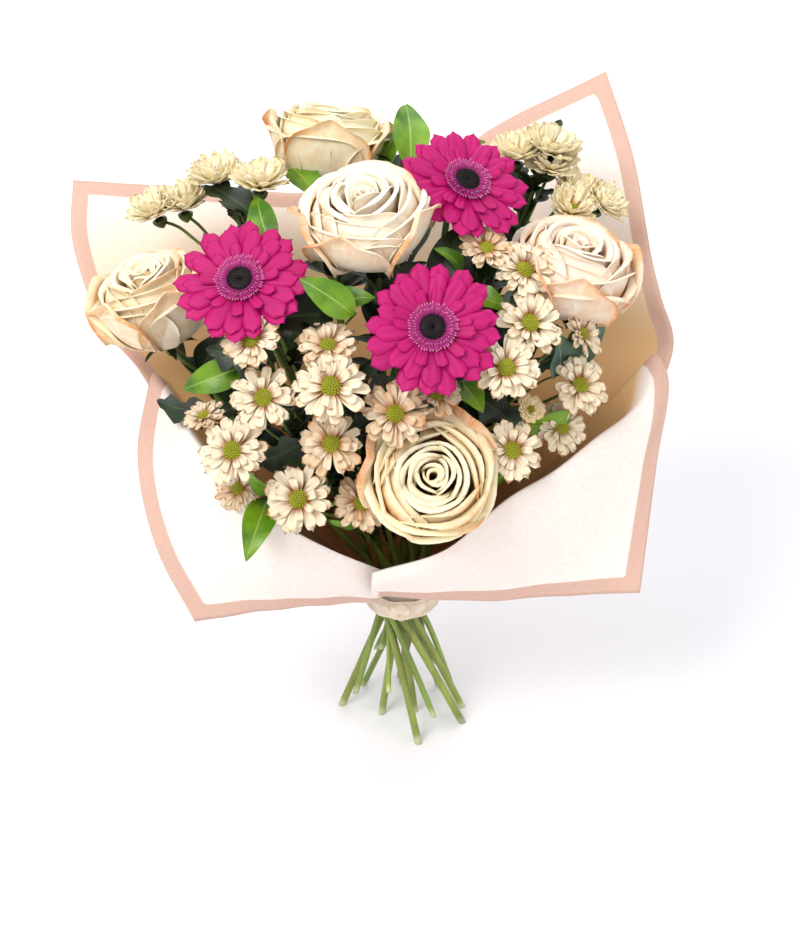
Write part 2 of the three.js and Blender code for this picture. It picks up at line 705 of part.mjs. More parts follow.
// The wall of a sheet, from a straight band inside the ribbon out to its upper edge.
function wallRows({ neck, wallLeft, wallRight, grip }, upper, columns, rows) {
  const low = neckArc(neck, PAPER_NECK.top);
  const wall = patch(low, upper, edge(wallLeft, [low(0)]), edge(wallRight, [low(1)]), grip);
  return [...sampled(neckArc(neck, PAPER_NECK.foot), columns, 0), ...sampled(wall, columns, rows)];
}

const backSheet = (grow) =>
  slab(wallRows(BACK_SHEET, edge(BACK_SHEET.rim), 12, 7), PAPER_THICKNESS + 2 * grow);

// A front sheet rises from the neck, rolls over at its fold and hangs down outside.
function frontSheet(sheet, grow) {
  const columns = 9;
  const fold = edge(sheet.fold);
  const lower = wallRows(sheet, fold, columns, 4);
  const flap = patch(fold, edge(sheet.hem), edge(sheet.flapLeft), edge(sheet.flapRight));
  const upper = sampled(flap, columns, 3);
  const rows = [...lower.slice(0, -1), ...rolled(lower, upper), ...upper.slice(1)];
  return slab(rows, PAPER_THICKNESS + 2 * grow);
}

// The rounded turn of the paper at its fold, a few millimetres over the fold line.
function rolled(lower, upper) {
  const ROLL = 5;
  return [-1, 1].map((side) =>
    upper[0].map((point, j) => {
      const away = (side < 0 ? lower.at(-2)[j] : upper[1][j]).clone().sub(point).normalize();
      return along(point, [away, ROLL], [UP, ROLL * 0.5]);
    }),
  );
}

// The back sheet stands up behind the flowers and wraps round the outside of the front ones,
// of which the right one lies over the left one. Angles are in degrees, from +X to +Y.
const PAPER_NECK = { foot: TIE_HEIGHT - 10, top: TIE_HEIGHT + 8 };
const BACK_SHEET = {
  neck: { from: 212, to: -32, radius: NECK_RADIUS + 7.1 },
  wallLeft: [
    [-104, 64, 94], [-180, 138, 106], [-216, 195, 82], [-244, 227, 62], [-269, 297, 30], [-268, 344, 0],
  ],
  wallRight: [
    [104, 64, 94], [186, 142, 102], [222, 212, 62], [212, 250, 42], [204, 282, 28], [189, 362, 4],
    [166, 432, -20],
  ],
  rim: [[-268, 344, 0], [-174, 339, -14], [-60, 334, -26], [20, 350, -34], [76, 387, -34], [166, 432, -20]],
  grip: 3,
};
const LEFT_SHEET = {
  neck: { from: 298, to: 188, radius: NECK_RADIUS + 2.8 },
  fold: [[-12, 27, 98], [-59, 47, 122], [-108, 75, 140], [-166, 133, 128], [-204, 193, 86]],
  wallLeft: [[-14, 10, 54], [-12, 27, 98]],
  wallRight: [[-88, 74, 70], [-146, 133, 84], [-204, 193, 86]],
  flapLeft: [[-12, 27, 98], [-18, 14, 86], [-24, 2, 54]],
  flapRight: [[-204, 193, 86], [-216, 125, 112], [-202, 51, 112], [-170, -13, 92]],
  hem: [[-24, 2, 54], [-100, -3, 80], [-170, -13, 92]],
  grip: 2,
};
const RIGHT_SHEET = {
  neck: { from: 238, to: 350, radius: NECK_RADIUS + 4.9 },
  fold: [
    [-24, 27, 118], [35, 47, 142], [89, 92, 156], [130, 116, 148],
    [162, 141, 132], [199, 172, 102], [208, 208, 74],
  ],
  wallLeft: [[-25, 8, 88], [-24, 27, 118]],
  wallRight: [[84, 76, 72], [144, 142, 84], [208, 208, 74]],
  flapLeft: [[-24, 27, 118], [-25, 20, 113], [-20, 8, 84]],
  flapRight: [[208, 208, 74], [218, 185, 88], [208, 116, 108], [195, 11, 92]],
  hem: [[-20, 8, 84], [56, 4, 90], [125, 8, 92], [195, 11, 92]],
  grip: 2,
};

// ---------------------------------------------------------------- ribbon
function ribbonSolid() {
  const inner = NECK_RADIUS + 9;
  const outer = inner + 2.8;
  const half = 8;
  const waist = [outer - 0.8, 0];
  const profile = [[inner, -half], [outer, -half], waist, [outer, half], [inner, half], [inner, -half]];
  const outline = profile.map(([radius, z]) => new THREE.Vector2(radius, z));
  const band = toSolid(new THREE.LatheGeometry(outline, 14).rotateX(Math.PI / 2));
  const knot = new THREE.SphereGeometry(6.5, 7, 5).scale(1.2, 0.8, 1);
  return band.add(toSolid(knot).translate([-2, -outer - 1.5, 0])).translate([0, 0, TIE_HEIGHT - 1]);
}

// ---------------------------------------------------------------- the bouquet
const bouquet = new THREE.Group();
const strands = [];

const headAt = (head, depth) => {
  const point = onDome(head.across, head.up, head.lift);
  const axis = facing(head, point);
  return { point, axis, base: along(point, [axis, -depth]) };
};

const roses = ROSES.map((head, k) => {
  const place = headAt(head, head.base + 1);
  const strand = mainStrand(`rose_${k}`, place.base, place.axis, ROSE_STEM, head.foot);
  strands.push(strand);
  return { head, ...place, strand };
});
const gerberas = GERBERAS.map((head, k) => {
  const place = headAt(head, GERBERA.base + 1);
  const strand = mainStrand(`gerbera_${k}`, place.base, place.axis, GERBERA.stem, head.foot);
  strands.push(strand);
  return { ...place, strand };
});
const sprays = SPRAYS.map(({ heads, foot }, k) => {
  const places = heads.map((head) => ({ ...head, ...headAt(head, MUM.base + 1.5) }));
  const [first, ...others] = places;
  const stem = mainStrand(`spray_${k}`, first.base, first.axis, SPRAY_STEM, foot);
  const lowest = Math.min(...places.map(({ base }) => base.z));
  const branches = others.map(({ base, axis }, n) => {
    const fork = Math.min(first.base.z - 45, base.z - 60, lowest - 30 + 14 * n);
    return branchStrand(stem, base, axis, MUM.stem, Math.max(TIE_HEIGHT + 45, fork));
  });
  strands.push(stem, ...branches);
  return { places, strand: stem, branches, leaves: [] };
});
const greens = GREENS.map((green) => {
  const point = onDome(green.end.across, green.end.up, green.end.lift);
  const axis = domeNormal(point).add(point.clone().sub(AXIS_POINT).normalize()).normalize();
  const strand = mainStrand(green.name, point, axis, GREENS_STEM, green.foot);
  strands.push(strand);
  return { ...green, strand, leaves: [...green.leaves] };
});

// Each filling leaf belongs to the nearest leafy stem and points away from the middle.
const large = [...ROSES, ...GERBERAS];
const leafy = [...sprays, ...greens];
for (let k = 0; k < FILL.count; k++) {
  const reach = Math.sqrt((k + 0.5) / FILL.count);
  const angle = k * GOLDEN_ANGLE;
  const across = FILL.across + FILL.halfWidth * reach * Math.cos(angle);
  const up = FILL.up + FILL.halfHeight * reach * Math.sin(angle);
  if (large.some((head) => Math.hypot(head.across - across, head.up - up) < 30)) continue;
  const turn = angle + 2.4 * (draw(k) - 0.5);
  const tip = [across + FILL.length * Math.cos(turn), up + FILL.length * Math.sin(turn), -12];
  const place = onDome(across, up, -32);
  const distance = ({ strand }) => pointAt(strand, place.z - 30).distanceTo(place);
  const nearest = leafy.reduce((best, plant) => (distance(plant) < distance(best) ? plant : best));
  nearest.leaves.push({ base: [across, up, -32], tip, width: FILL.width * (0.8 + 0.4 * draw(k + 9)) });
}

// Each leaf read from the front or filling a gap ends a twig of its own.
for (const plant of leafy) {
  const { strand } = plant;
  plant.twigs = plant.leaves.map(({ base, tip, overFold }) => {
    const [end, towards] = [base, tip].map((place) => (overFold ? seenAt(...place) : onDome(...place)));
    const run = end.distanceTo(pointAt(strand, end.z));
    const fork = THREE.MathUtils.clamp(end.z - 20 - 0.8 * run, TIE_HEIGHT + 45, strand.points.at(-1).z - 20);
    const axis = towards.clone().sub(end).normalize().add(UP).normalize();
    return { ...branchStrand(strand, end, axis, TWIG, Math.min(fork, end.z - 15)), loose: true };
  });
  strands.push(...plant.twigs);
}
bendClear(strands);
strands.forEach((strand) => {
  strand.points = thinned(strand.points);
});

// ---------------------------------------------------------------- stems with what grows on them
function roseGreen({ strand, base, axis }, k, grow) {
  const sepals = petalTier({ petals: 5, tip: 19, notch: 6.5, rise: -5, width: 0.35 }, grow);
  const hip = ringed(-10 - grow, [circle(4.5 + grow, -7, 15), ...sepals], 0.5);
  const leaves = leavesUp(strand, {
    low: TIE_HEIGHT + 95,
    high: base.z - 30,
    count: 2,
    length: 42,
    width: 24,
    outline: PLAIN,
    seed: k * 3 + 1,
  }, grow);
  return [placed(hip, base, axis), ...leaves];
}

function gerberaGreen({ base, axis }, grow) {
  const cup = ringed(-9, [circle(4 + grow, -8, 8), circle(10 + grow, 0, 8)], 0.5);
  return [placed(cup, base, axis)];
}

function sprayGreen({ places, strand }, k, grow) {
  const cups = places.map(({ base, axis, size }) => {
    const r = 6.5 * size + grow;
    return placed(ringed(-7, [circle(r * 0.6, -5, 5), circle(r, 0.2, 5)], 0.8), base, axis);
  });
  const leaves = leavesUp(strand, {
    low: TIE_HEIGHT + 80,
    high: strand.points.at(-1).z - 25,
    count: 2,
    length: 46,
    width: 26,
    outline: LOBED,
    seed: k * 5 + 2,
  }, grow);
  return [...cups, ...leaves];
}

function twigLeaves({ leaves, twigs }, outline, grow) {
  return leaves.map(({ tip, width, overFold }, k) => {
    const end = overFold ? seenAt(...tip) : onDome(...tip);
    const start = pointAt(twigs[k], twigs[k].points.at(-1).z - 2.5);
    const up = overFold ? TOWARDS : domeNormal(end);
    return leaf({ start, tip: end, width, outline, up }, grow);
  });
}

// ---------------------------------------------------------------- fitting together
// Every piece keeps clear of the ones before it: paper, ribbon, roses, gerberas, sprays, greens.
// Bare stems were bent clear of each other, so they stay whole and the heads give way to them.
function boxed(solid, owners = []) {
  const { min, max } = solid.boundingBox();
  const box = new THREE.Box3(new THREE.Vector3(...min), new THREE.Vector3(...max));
  return { solid, owners, box };
}

const belongsTo = (strands) => ({ owners }) => owners.some((owner) => strands.includes(owner));
const notOf = (list, strands) => list.filter((piece) => !belongsTo(strands)(piece));

function clearOf(solid, others) {
  const { box } = boxed(solid);
  const near = others.filter((other) => other.box.intersectsBox(box)).map((other) => other.solid);
  return near.length ? solid.subtract(join(near)) : solid;
}

const bareStem = (strand, grow) => cutAtFoot(strandSolid(strand, grow), strand.foot ?? 0);
const bareStems = strands.map((strand) => boxed(bareStem(strand, 0), [strand]));
const wideStems = strands.map((strand) => boxed(bareStem(strand, GAP), [strand]));
const inPlace = []; // what the next piece has to keep clear of

// The edges, by the places of their ends, that do not belong to exactly two triangles.
function pinches(geometry) {
  const bare = geometry.clone();
  bare.deleteAttribute('normal');
  const merged = mergeVertices(bare, 1e-3);
  const index = merged.index.array;
  const uses = new Map();
  for (let k = 0; k < index.length; k++) {
    const ends = [index[k], index[k % 3 === 2 ? k - 2 : k + 1]];
    const key = `${Math.min(...ends)} ${Math.max(...ends)}`;
    uses.set(key, [...(uses.get(key) ?? []), ends]);
  }
  const at = (k) => new THREE.Vector3().fromBufferAttribute(merged.attributes.position, k);
  const shared = [...uses.values()].filter((list) => list.length !== 2);
  return shared.map(([[a, b]]) => new THREE.Line3(at(a), at(b)));
}

// Where a mesh is pinched at an edge, a small nick parts it.
function show(name, colour, solid) {
  const material = new THREE.MeshStandardMaterial({ color: colour, roughness: 0.8, metalness: 0 });
  let body = largest(solid.asOriginal().simplify(FINEST));
  for (let edges = pinches(toGeometry(body)); edges.length; edges = pinches(toGeometry(body))) {
    const nicks = edges.map((edge) => {
      const reach = 0.5 * edge.distance() + 0.2;
      const middle = edge.getCenter(new THREE.Vector3());
      return toSolid(new THREE.TetrahedronGeometry(reach)).translate(middle.toArray());
    });
    body = largest(body.subtract(join(nicks)));
  }
  const mesh = new THREE.Mesh(toGeometry(body), material);
  mesh.name = name;
  bouquet.add(mesh);
}

// make(grow) models a piece that may be cut: paper, ribbon or heads on their own strands.
function add(name, colour, make, own = []) {
  show(name, colour, clearOf(make(0), [...notOf(wideStems, own), ...inPlace]));
  inPlace.push(boxed(clearOf(make(GAP), notOf(bareStems, own)), own));
}

// A green piece is its strands, which only its own heads shorten, and cut extras on them.
function addGreen(name, colour, own, makeExtras) {
  const heads = inPlace.filter(belongsTo(own));
  const core = clearOf(join(own.map((strand) => bareStem(strand, 0))), heads);
  const extras = clearOf(join(makeExtras(0)), [...notOf(wideStems, own), ...inPlace]);
  show(name, colour, core.add(extras));
  inPlace.push(boxed(clearOf(join(makeExtras(GAP)), notOf(bareStems, own))));
}

add('wrap_back', COLOURS.paper, backSheet);
add('wrap_left', COLOURS.paper, (grow) => frontSheet(LEFT_SHEET, grow));
add('wrap_right', COLOURS.paper, (grow) => frontSheet(RIGHT_SHEET, grow));
add('ribbon', COLOURS.ribbon, ribbonSolid);
roses.forEach(({ head, point, axis, strand }, k) => {
  const bloom = (grow) => placed(roseHead(head, grow), point, axis, k * 1.3);
  add(`rose_bloom_${k + 1}`, COLOURS.rosePetal, bloom, [strand]);
});
gerberas.forEach(({ point, axis, strand }, k) => {
  const rays = (grow) => placed(gerberaRays(grow), point, axis, k);
  const eye = (grow) => placed(gerberaEye(grow), point, axis, k);
  add(`gerbera_rays_${k + 1}`, COLOURS.gerberaRay, rays, [strand]);
  add(`gerbera_eye_${k + 1}`, COLOURS.gerberaEye, eye, [strand]);
});
sprays.forEach(({ places, strand, branches }, k) => {
  const own = [strand, ...branches];
  const bunches = [];
  places.forEach((place, n) => {
    if (!place.joins) bunches.push([]);
    bunches.at(-1).push(n);
  });
  for (const bunch of bunches) {
    const heads = (grow) =>
      join(bunch.map((n) => placed(mumHead(places[n], grow), places[n].point, places[n].axis, k + n)));
    add(`chrysanthemum_${k + 1}_${bunch[0] + 1}`, COLOURS.mumPetal, heads, bunch.map((n) => own[n]));
  }
});
roses.forEach((rose, k) => {
  addGreen(`rose_stem_${k + 1}`, COLOURS.stem, [rose.strand], (grow) => roseGreen(rose, k, grow));
});
gerberas.forEach((gerbera, k) => {
  const cup = (grow) => gerberaGreen(gerbera, grow);
  addGreen(`gerbera_stem_${k + 1}`, COLOURS.stem, [gerbera.strand], cup);
});
sprays.forEach((spray, k) => {
  const own = [spray.strand, ...spray.branches, ...spray.twigs];
  const extras = (grow) => [...sprayGreen(spray, k, grow), ...twigLeaves(spray, PLAIN, grow)];
  addGreen(`spray_green_${k + 1}`, COLOURS.sprayGreen, own, extras);
});
greens.forEach((green) => {
  const own = [green.strand, ...green.twigs];
  addGreen(green.name, green.colour, own, (grow) => twigLeaves(green, PLAIN, grow));
});

// The origin is the middle of the bounding box's foot.
const bounds = new THREE.Box3().setFromObject(bouquet);
const middle = bounds.getCenter(new THREE.Vector3());
bouquet.position.set(-middle.x, -middle.y, -bounds.min.z);
bouquet.updateMatrixWorld(true);

export default bouquet;
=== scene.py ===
"""A hand-tied mixed bouquet in a bordered paper wrap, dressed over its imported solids.

Lengths are in millimetres here and are written to the meshes in metres. Places are kept from the
bouquet's own axis, as in the part's source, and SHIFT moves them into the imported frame.
"""

import json
import math

import bpy
import numpy as np
from mathutils import Matrix, Vector

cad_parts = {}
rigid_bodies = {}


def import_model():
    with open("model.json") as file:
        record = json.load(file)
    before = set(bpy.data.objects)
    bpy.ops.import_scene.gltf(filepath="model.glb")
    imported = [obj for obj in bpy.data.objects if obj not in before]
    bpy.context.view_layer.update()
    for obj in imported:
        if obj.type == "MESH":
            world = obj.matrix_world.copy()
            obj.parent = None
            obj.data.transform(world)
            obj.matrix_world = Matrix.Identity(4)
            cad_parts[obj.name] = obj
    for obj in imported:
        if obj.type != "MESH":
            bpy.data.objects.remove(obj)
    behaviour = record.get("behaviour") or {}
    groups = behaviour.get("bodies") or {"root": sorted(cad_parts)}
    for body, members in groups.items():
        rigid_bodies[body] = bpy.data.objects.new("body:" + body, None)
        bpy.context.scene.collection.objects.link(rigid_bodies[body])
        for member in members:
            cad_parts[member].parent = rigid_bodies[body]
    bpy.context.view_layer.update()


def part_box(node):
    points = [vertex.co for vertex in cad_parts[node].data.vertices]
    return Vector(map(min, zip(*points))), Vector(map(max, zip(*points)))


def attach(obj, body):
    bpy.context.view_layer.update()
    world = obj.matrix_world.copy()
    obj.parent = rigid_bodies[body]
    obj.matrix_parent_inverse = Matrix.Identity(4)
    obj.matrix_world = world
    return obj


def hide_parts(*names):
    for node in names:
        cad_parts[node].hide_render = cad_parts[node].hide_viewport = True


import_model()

# ---------------------------------------------------------------- driving dimensions
TIE_HEIGHT = 125.0
NECK_RADIUS = 19.5
WAIST_REACH = 0.078  # how far from the axis a stem passes the tie, as a share of its head's reach
FOOT_SPREAD = 1.1  # how far out a stem's foot is, as a share of where its own line would take it
FOOT_REACH = 58.0  # the furthest a foot is from the axis
GAP, SLACK = 0.35, 0.8  # the room kept between two stems
LEVEL_STEP = 12.5  # between the heights at which stems push each other aside
BEND_ROUNDS, LAST_ROUNDS = 160, 24  # in the last rounds the stems aren't smoothed any more
LOOK_EVERY, LOOK_ROOM = 20, 25  # how often, and from how near, pairs of stems are looked for
LOWEST_FORK = TIE_HEIGHT + 45
# places are read on a plane square to this gaze, which crosses the axis at READ_HEIGHT
READ_HEIGHT = 112.5
GAZE_PITCH = math.radians(28)
GAZE_DISTANCE = 1700.0
GAZE_AIM = (-1.6, 113.0)
CAMERA_PITCH = math.radians(30)
FOCAL_PIXELS, PICTURE_PIXELS = 2073, 928
# the heads lie on this dome
DOME_CENTRE = np.array((-22.0, 48.0, 318.0))
DOME_RADII = np.array((200.0, 160.0, 160.0))
ROSE_STEM = 3.1
GERBERA_BASE, GERBERA_STEM = 9.0, 3.0
MUM_BASE, MUM_STEM = 5.0, 1.3
SPRAY_STEM, GREENS_STEM, TWIG = 2.6, 2.1, 1.1
GOLDEN_ANGLE = 2.39996
BELOW_ALL = -1e9

RIBBON_LOW, RIBBON_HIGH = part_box("ribbon")
RIBBON_OUTER = NECK_RADIUS + 11.8
SHIFT = np.array((500 * (RIBBON_LOW.x + RIBBON_HIGH.x), 1000 * RIBBON_HIGH.y - RIBBON_OUTER, 0.0))

# across, up, lift out of the dome, face (right, up the picture, towards the viewer), base, size
ROSES = [
    (23, 113, 6, (0.04, 0.12, 1), 28, 1.0),
    (-30, 321, 4, (-0.08, 0.72, 0.7), 36, 1.0),
    (-59, 383, 0, (0.1, 0.97, 0.22), 44, 0.96),
    (-206, 257, 0, (-0.25, 0.8, 0.5), 42, 0.88),
    (138, 280, 2, (0.25, 0.8, 0.55), 36, 1.0),
]
GERBERAS = [
    (-125, 264, 12, (-0.12, 0.4, 0.91)),
    (22, 230, 14, (0.03, 0.2, 0.98)),
    (48, 338, 10, (0.3, 0.5, 0.82)),
]
# foot, then heads: across, up, size, lift, and the face where the dome doesn't give it
SPRAYS = [
    (12, [
        (-110, 176, 0.95, 6), (-117, 221, 0.86, 12), (-133, 135, 1.02, 8),
        (-164, 156, 0.66, -4, (-0.3, 0.75, 0.6)), (-136, 95, 0.7, -4, (-0.25, 0.1, 0.95)),
    ]),
    (0, [
        (-56, 186, 1.05, 10), (-61, 217, 0.86, -4, (0, 0.6, 0.8)), (-57, 138, 0.92, 2),
        (-82, 97, 1.0, 8),
    ]),
    (40, [
        (-6, 163, 0.96, 4), (29, 176, 0.74, -4, (0.1, 0.5, 0.85)), (-34, 86, 0.86, -2, (0.3, 0.1, 0.95)),
    ]),
    (0, [
        (99, 233, 0.96, 8), (98, 276, 0.96, 2), (77, 200, 0.96, 16), (87, 133, 0.92, 4),
        (143, 183, 0.9, 2), (148, 225, 0.76, -2, (0.75, 0.35, 0.55)),
        (134, 145, 0.78, -6, (0.4, 0.1, 0.9)), (103, 165, 0.45, 2),
    ]),
    (30, [
        (120, 371, 1.0, 0, (0.25, 0.75, 0.55)), (95, 370, 0.95, -4, (0, 0.8, 0.5)),
        (116, 350, 0.95, 8, (0.1, 0.7, 0.65)), (139, 334, 0.92, 2, (0.4, 0.7, 0.55)),
        (164, 328, 0.88, -2, (0.6, 0.55, 0.5)), (131, 317, 0.88, 8, (0.2, 0.6, 0.75)),
        (70, 297, 0.8, -4, (0.2, 0.6, 0.75)),
    ]),
    (22, [
        (-149, 347, 1.0, 0, (-0.15, 0.8, 0.5)), (-115, 343, 1.0, 2, (0.05, 0.82, 0.5)),
        (-200, 320, 0.95, 0, (-0.35, 0.75, 0.5)), (-175, 322, 0.95, 4, (-0.15, 0.8, 0.5)),
    ]),
]
# the heads, by spray and head, that are still young, and those that are joined to the one before
YOUNG = {(3, 7), *[(4, n) for n in range(6)], *[(5, n) for n in range(4)]}
JOINED = {(4, 1), (4, 2), (4, 4), (4, 5), (5, 1), (5, 3)}
# name, end (across, up, lift), foot, leaves: base, tip, width, and True where it lies over the fold
GREENS = [
    ("ruscus_left", (-86, 250, -22), 45, [
        ((-38, 246, -6), (-81, 269, 8), 26), ((-115, 90, 138), (-128, 40, 166), 26, True),
        ((-104, 92, -12), (-126, 116, 4), 22), ((-112, 305, -12), (-118, 336, 0), 24),
        ((-150, 200, -30), (-185, 178, -8), 26), ((-60, 262, -24), (-22, 262, -14), 20),
        ((-30, 60, -16), (-60, 66, -6), 20),
    ]),
    ("ruscus_right", (92, 300, -26), 60, [
        ((112, 142, -18), (146, 162, -4), 24), ((56, 290, -22), (28, 300, -6), 15),
        ((66, 268, -24), (92, 250, -12), 20), ((58, 180, -24), (70, 160, -8), 22),
        ((60, 110, -20), (92, 100, -8), 22), ((110, 318, -30), (170, 300, -16), 24),
    ]),
    ("ruscus_back", (2, 376, -14), 38, [
        ((8, 364, -6), (2, 398, 10), 30), ((-16, 372, -14), (-2, 392, -4), 20),
        ((26, 366, -14), (70, 384, -6), 24), ((-80, 352, -20), (-112, 372, -8), 26),
    ]),
    ("eucalyptus_right", (120, 240, -24), 52, [
        ((140, 190, -14), (128, 228, -4), 30), ((150, 205, -18), (170, 230, -4), 28),
        ((118, 262, -26), (150, 250, -16), 26),
    ]),
]
# leaves that fill an oval of the picture
FILL_COUNT, FILL_ACROSS, FILL_UP = 15, -22, 222
FILL_HALF_WIDTH, FILL_HALF_HEIGHT, FILL_LENGTH, FILL_WIDTH = 176, 150, 52, 30
FILL_BASE_LIFT, FILL_TIP_LIFT, FILL_CLEAR = -32, -12, 30


# ---------------------------------------------------------------- small helpers
def vec(*values):
    return np.array(values, float)


def unit(v):
    return v / np.linalg.norm(v)


def gaze(pitch):
    """What is up the picture and towards the viewer, in a view that looks down by pitch."""
    return vec(0, math.sin(pitch), math.cos(pitch)), vec(0, -math.cos(pitch), math.sin(pitch))


AXIS_POINT, UP, RIGHT = vec(0, 0, READ_HEIGHT), vec(0, 0, 1), vec(1, 0, 0)
UPWARD, TOWARDS = gaze(GAZE_PITCH)
EYE = AXIS_POINT + RIGHT * GAZE_AIM[0] + UPWARD * GAZE_AIM[1] + TOWARDS * GAZE_DISTANCE


def on_picture(across, up):
    return AXIS_POINT + RIGHT * across + UPWARD * up


def draw(n):
    wave = math.sin(n * 12.9898) * 43758.5453
    return wave - math.floor(wave)


def lerp(a, b, share):
    return a + (b - a) * share


def ease(value, low, high):
    """0 up to low and 1 from high on, in a straight line between them."""
    return np.clip((value - low) / (high - low), 0, 1)


def full_turn(count):
    return np.arange(count) * 2 * math.pi / count


def polar(reach, turn, z):
    """Points round +Z, at a distance, a turn and a height."""
    return np.stack([reach * np.cos(turn), reach * np.sin(turn), z + 0 * turn], -1)


def lengths_along(points):
    return np.concatenate([[0], np.cumsum(np.linalg.norm(np.diff(points, axis=0), axis=1))])


def seen_at(across, up, depth):
    return lerp(EYE, on_picture(across, up), 1 - depth / GAZE_DISTANCE)


def dome_normal(point):
    return unit((point - DOME_CENTRE) / DOME_RADII / DOME_RADII)


def on_dome(across, up, lift):
    ray = unit(on_picture(across, up) - EYE)
    start = (EYE - DOME_CENTRE) / DOME_RADII
    step = ray / DOME_RADII
    half = start @ step / (step @ step)
    inside = half * half - (start @ start - 1) / (step @ step)
    point = EYE + ray * (-half - math.sqrt(max(0.0, inside)))
    return point + dome_normal(point) * lift


def facing(face, point):
    if face:
        return unit(RIGHT * face[0] + UPWARD * face[1] + TOWARDS * face[2])
    lean = unit(point - AXIS_POINT)
    return unit(lerp(lerp(lean, dome_normal(point), 0.35), TOWARDS, 0.35))


def bezier(points, t):
    t = np.asarray(t, float)[..., None]
    a, b, c, d = points
    return (1 - t) ** 3 * a + 3 * (1 - t) ** 2 * t * b + 3 * (1 - t) * t * t * c + t ** 3 * d


def turned(axis, spin):
    """The rotation that puts +Z along axis, after a turn by spin."""
    turn = Vector((0, 0, 1)).rotation_difference(Vector(axis)).to_matrix()
    return np.array(turn @ Matrix.Rotation(spin, 3, "Z"))


# ---------------------------------------------------------------- stems
def levels_between(low, high):
    heights = []
    k = math.ceil((low + 2) / LEVEL_STEP)
    while k * LEVEL_STEP < high - 2:
        heights.append(k * LEVEL_STEP)
        k += 1
    return [low, *heights, high]


def at_heights(curve, low, high):
    fine = bezier(curve, np.linspace(0, 1, 161))
    places = []
    for z in levels_between(low, high):
        reached = np.nonzero(fine[:, 2] >= z - 1e-6)[0]
        k = max(1, int(reached[0]) if len(reached) else -1)
        share = (z - fine[k - 1, 2]) / ((fine[k, 2] - fine[k - 1, 2]) or 1)
        place = lerp(fine[k - 1], fine[k], min(max(share, 0), 1))
        places.append([place[0], place[1], z])
    return places


def main_strand(group, point, axis, radius, foot=0):
    """A stem from below the floor, past the tie and up to its head, as places at set heights."""
    reach = math.hypot(point[0], point[1])
    waist = min(reach * WAIST_REACH, NECK_RADIUS - radius)
    angle = math.atan2(point[1], point[0]) + math.acos(waist / reach)
    neck = vec(waist * math.cos(angle), waist * math.sin(angle), TIE_HEIGHT)
    rise = point[2] - TIE_HEIGHT
    lean = (point - neck) / rise
    floor = neck - lean * TIE_HEIGHT
    floor[2] = 0
    floor = lerp(floor, neck, 1 - FOOT_SPREAD)
    floor *= min(1, FOOT_REACH / np.linalg.norm(floor))
    floor[2] = -LEVEL_STEP
    upper = (neck, neck + lean * rise * 0.4, point - axis * rise * 0.22, point)
    below = []
    for z in levels_between(-LEVEL_STEP, TIE_HEIGHT)[:-1]:
        place = lerp(floor, neck, (z + LEVEL_STEP) / (TIE_HEIGHT + LEVEL_STEP))
        below.append([place[0], place[1], z])
    points = below + at_heights(upper, TIE_HEIGHT, point[2])
    return {"group": group, "radius": radius, "foot": foot, "points": points, "fork": BELOW_ALL}


def point_at(strand, height):
    points = strand["points"]
    level = min(max(height, points[0][2]), points[-1][2])
    k = max(1, next((n for n, p in enumerate(points) if p[2] >= level), -1))
    share = (level - points[k - 1][2]) / (points[k][2] - points[k - 1][2])
    return lerp(np.array(points[k - 1]), np.array(points[k]), share)


def branch_strand(parent, point, axis, radius, fork, loose=False):
    """A branch that leaves its parent at the height fork; a loose one may move at its end too."""
    start = point_at(parent, fork)
    lean = min(0.45 * np.linalg.norm(point - start), 40)
    ahead = lerp(start, point_at(parent, fork + LEVEL_STEP), 1.4)
    curve = (start, ahead, point - axis * lean, point)
    return {
        "group": parent["group"],
        "parent": parent,
        "radius": radius,
        "fork": fork + 28,
        "points": at_heights(curve, fork, point[2]),
        "loose": loose,
    }


def push_apart(pairs, places):
    for a, b, room, fork, share_a, share_b in pairs:
        one, two = places[a][1], places[b][1]
        if fork is not None and min(one[2], two[2]) < fork:
            continue
        x, y = two[0] - one[0], two[1] - one[1]
        gap = math.hypot(x, y)
        if gap >= room:
            continue
        away = (room - gap) / (gap or 1)
        one[0] -= x * away * share_a
        one[1] -= y * away * share_a
        two[0] += x * away * share_b
        two[1] += y * away * share_b
    for strand, point, _ in places:
        above = point[2] - TIE_HEIGHT
        widest = NECK_RADIUS - strand["radius"] + (0.4 * above if above > 0 else -0.9 * above)
        reach = math.hypot(point[0], point[1])
        if above <= 40 and reach > widest:
            point[0] *= widest / reach
            point[1] *= widest / reach


def close_pairs(places, margin):
    """The pairs of places at one level that are near enough to come to push each other."""
    found = []
    for a, (one, p, fixed_p) in enumerate(places):
        for b in range(a + 1, len(places)):
            two, q, fixed_q = places[b]
            if fixed_p and fixed_q:
                continue
            room = 1.2 * (one["radius"] + two["radius"]) + 2 * (GAP + SLACK)
            if math.hypot(q[0] - p[0], q[1] - p[1]) > room + margin:
                continue
            kin = one["group"] == two["group"]
            fork = max(one["fork"], two["fork"]) if kin else None
            share = 0.9 if fixed_p or fixed_q else 0.5
            found.append((a, b, room, fork, 0 if fixed_p else share, 0 if fixed_q else share))
    return found


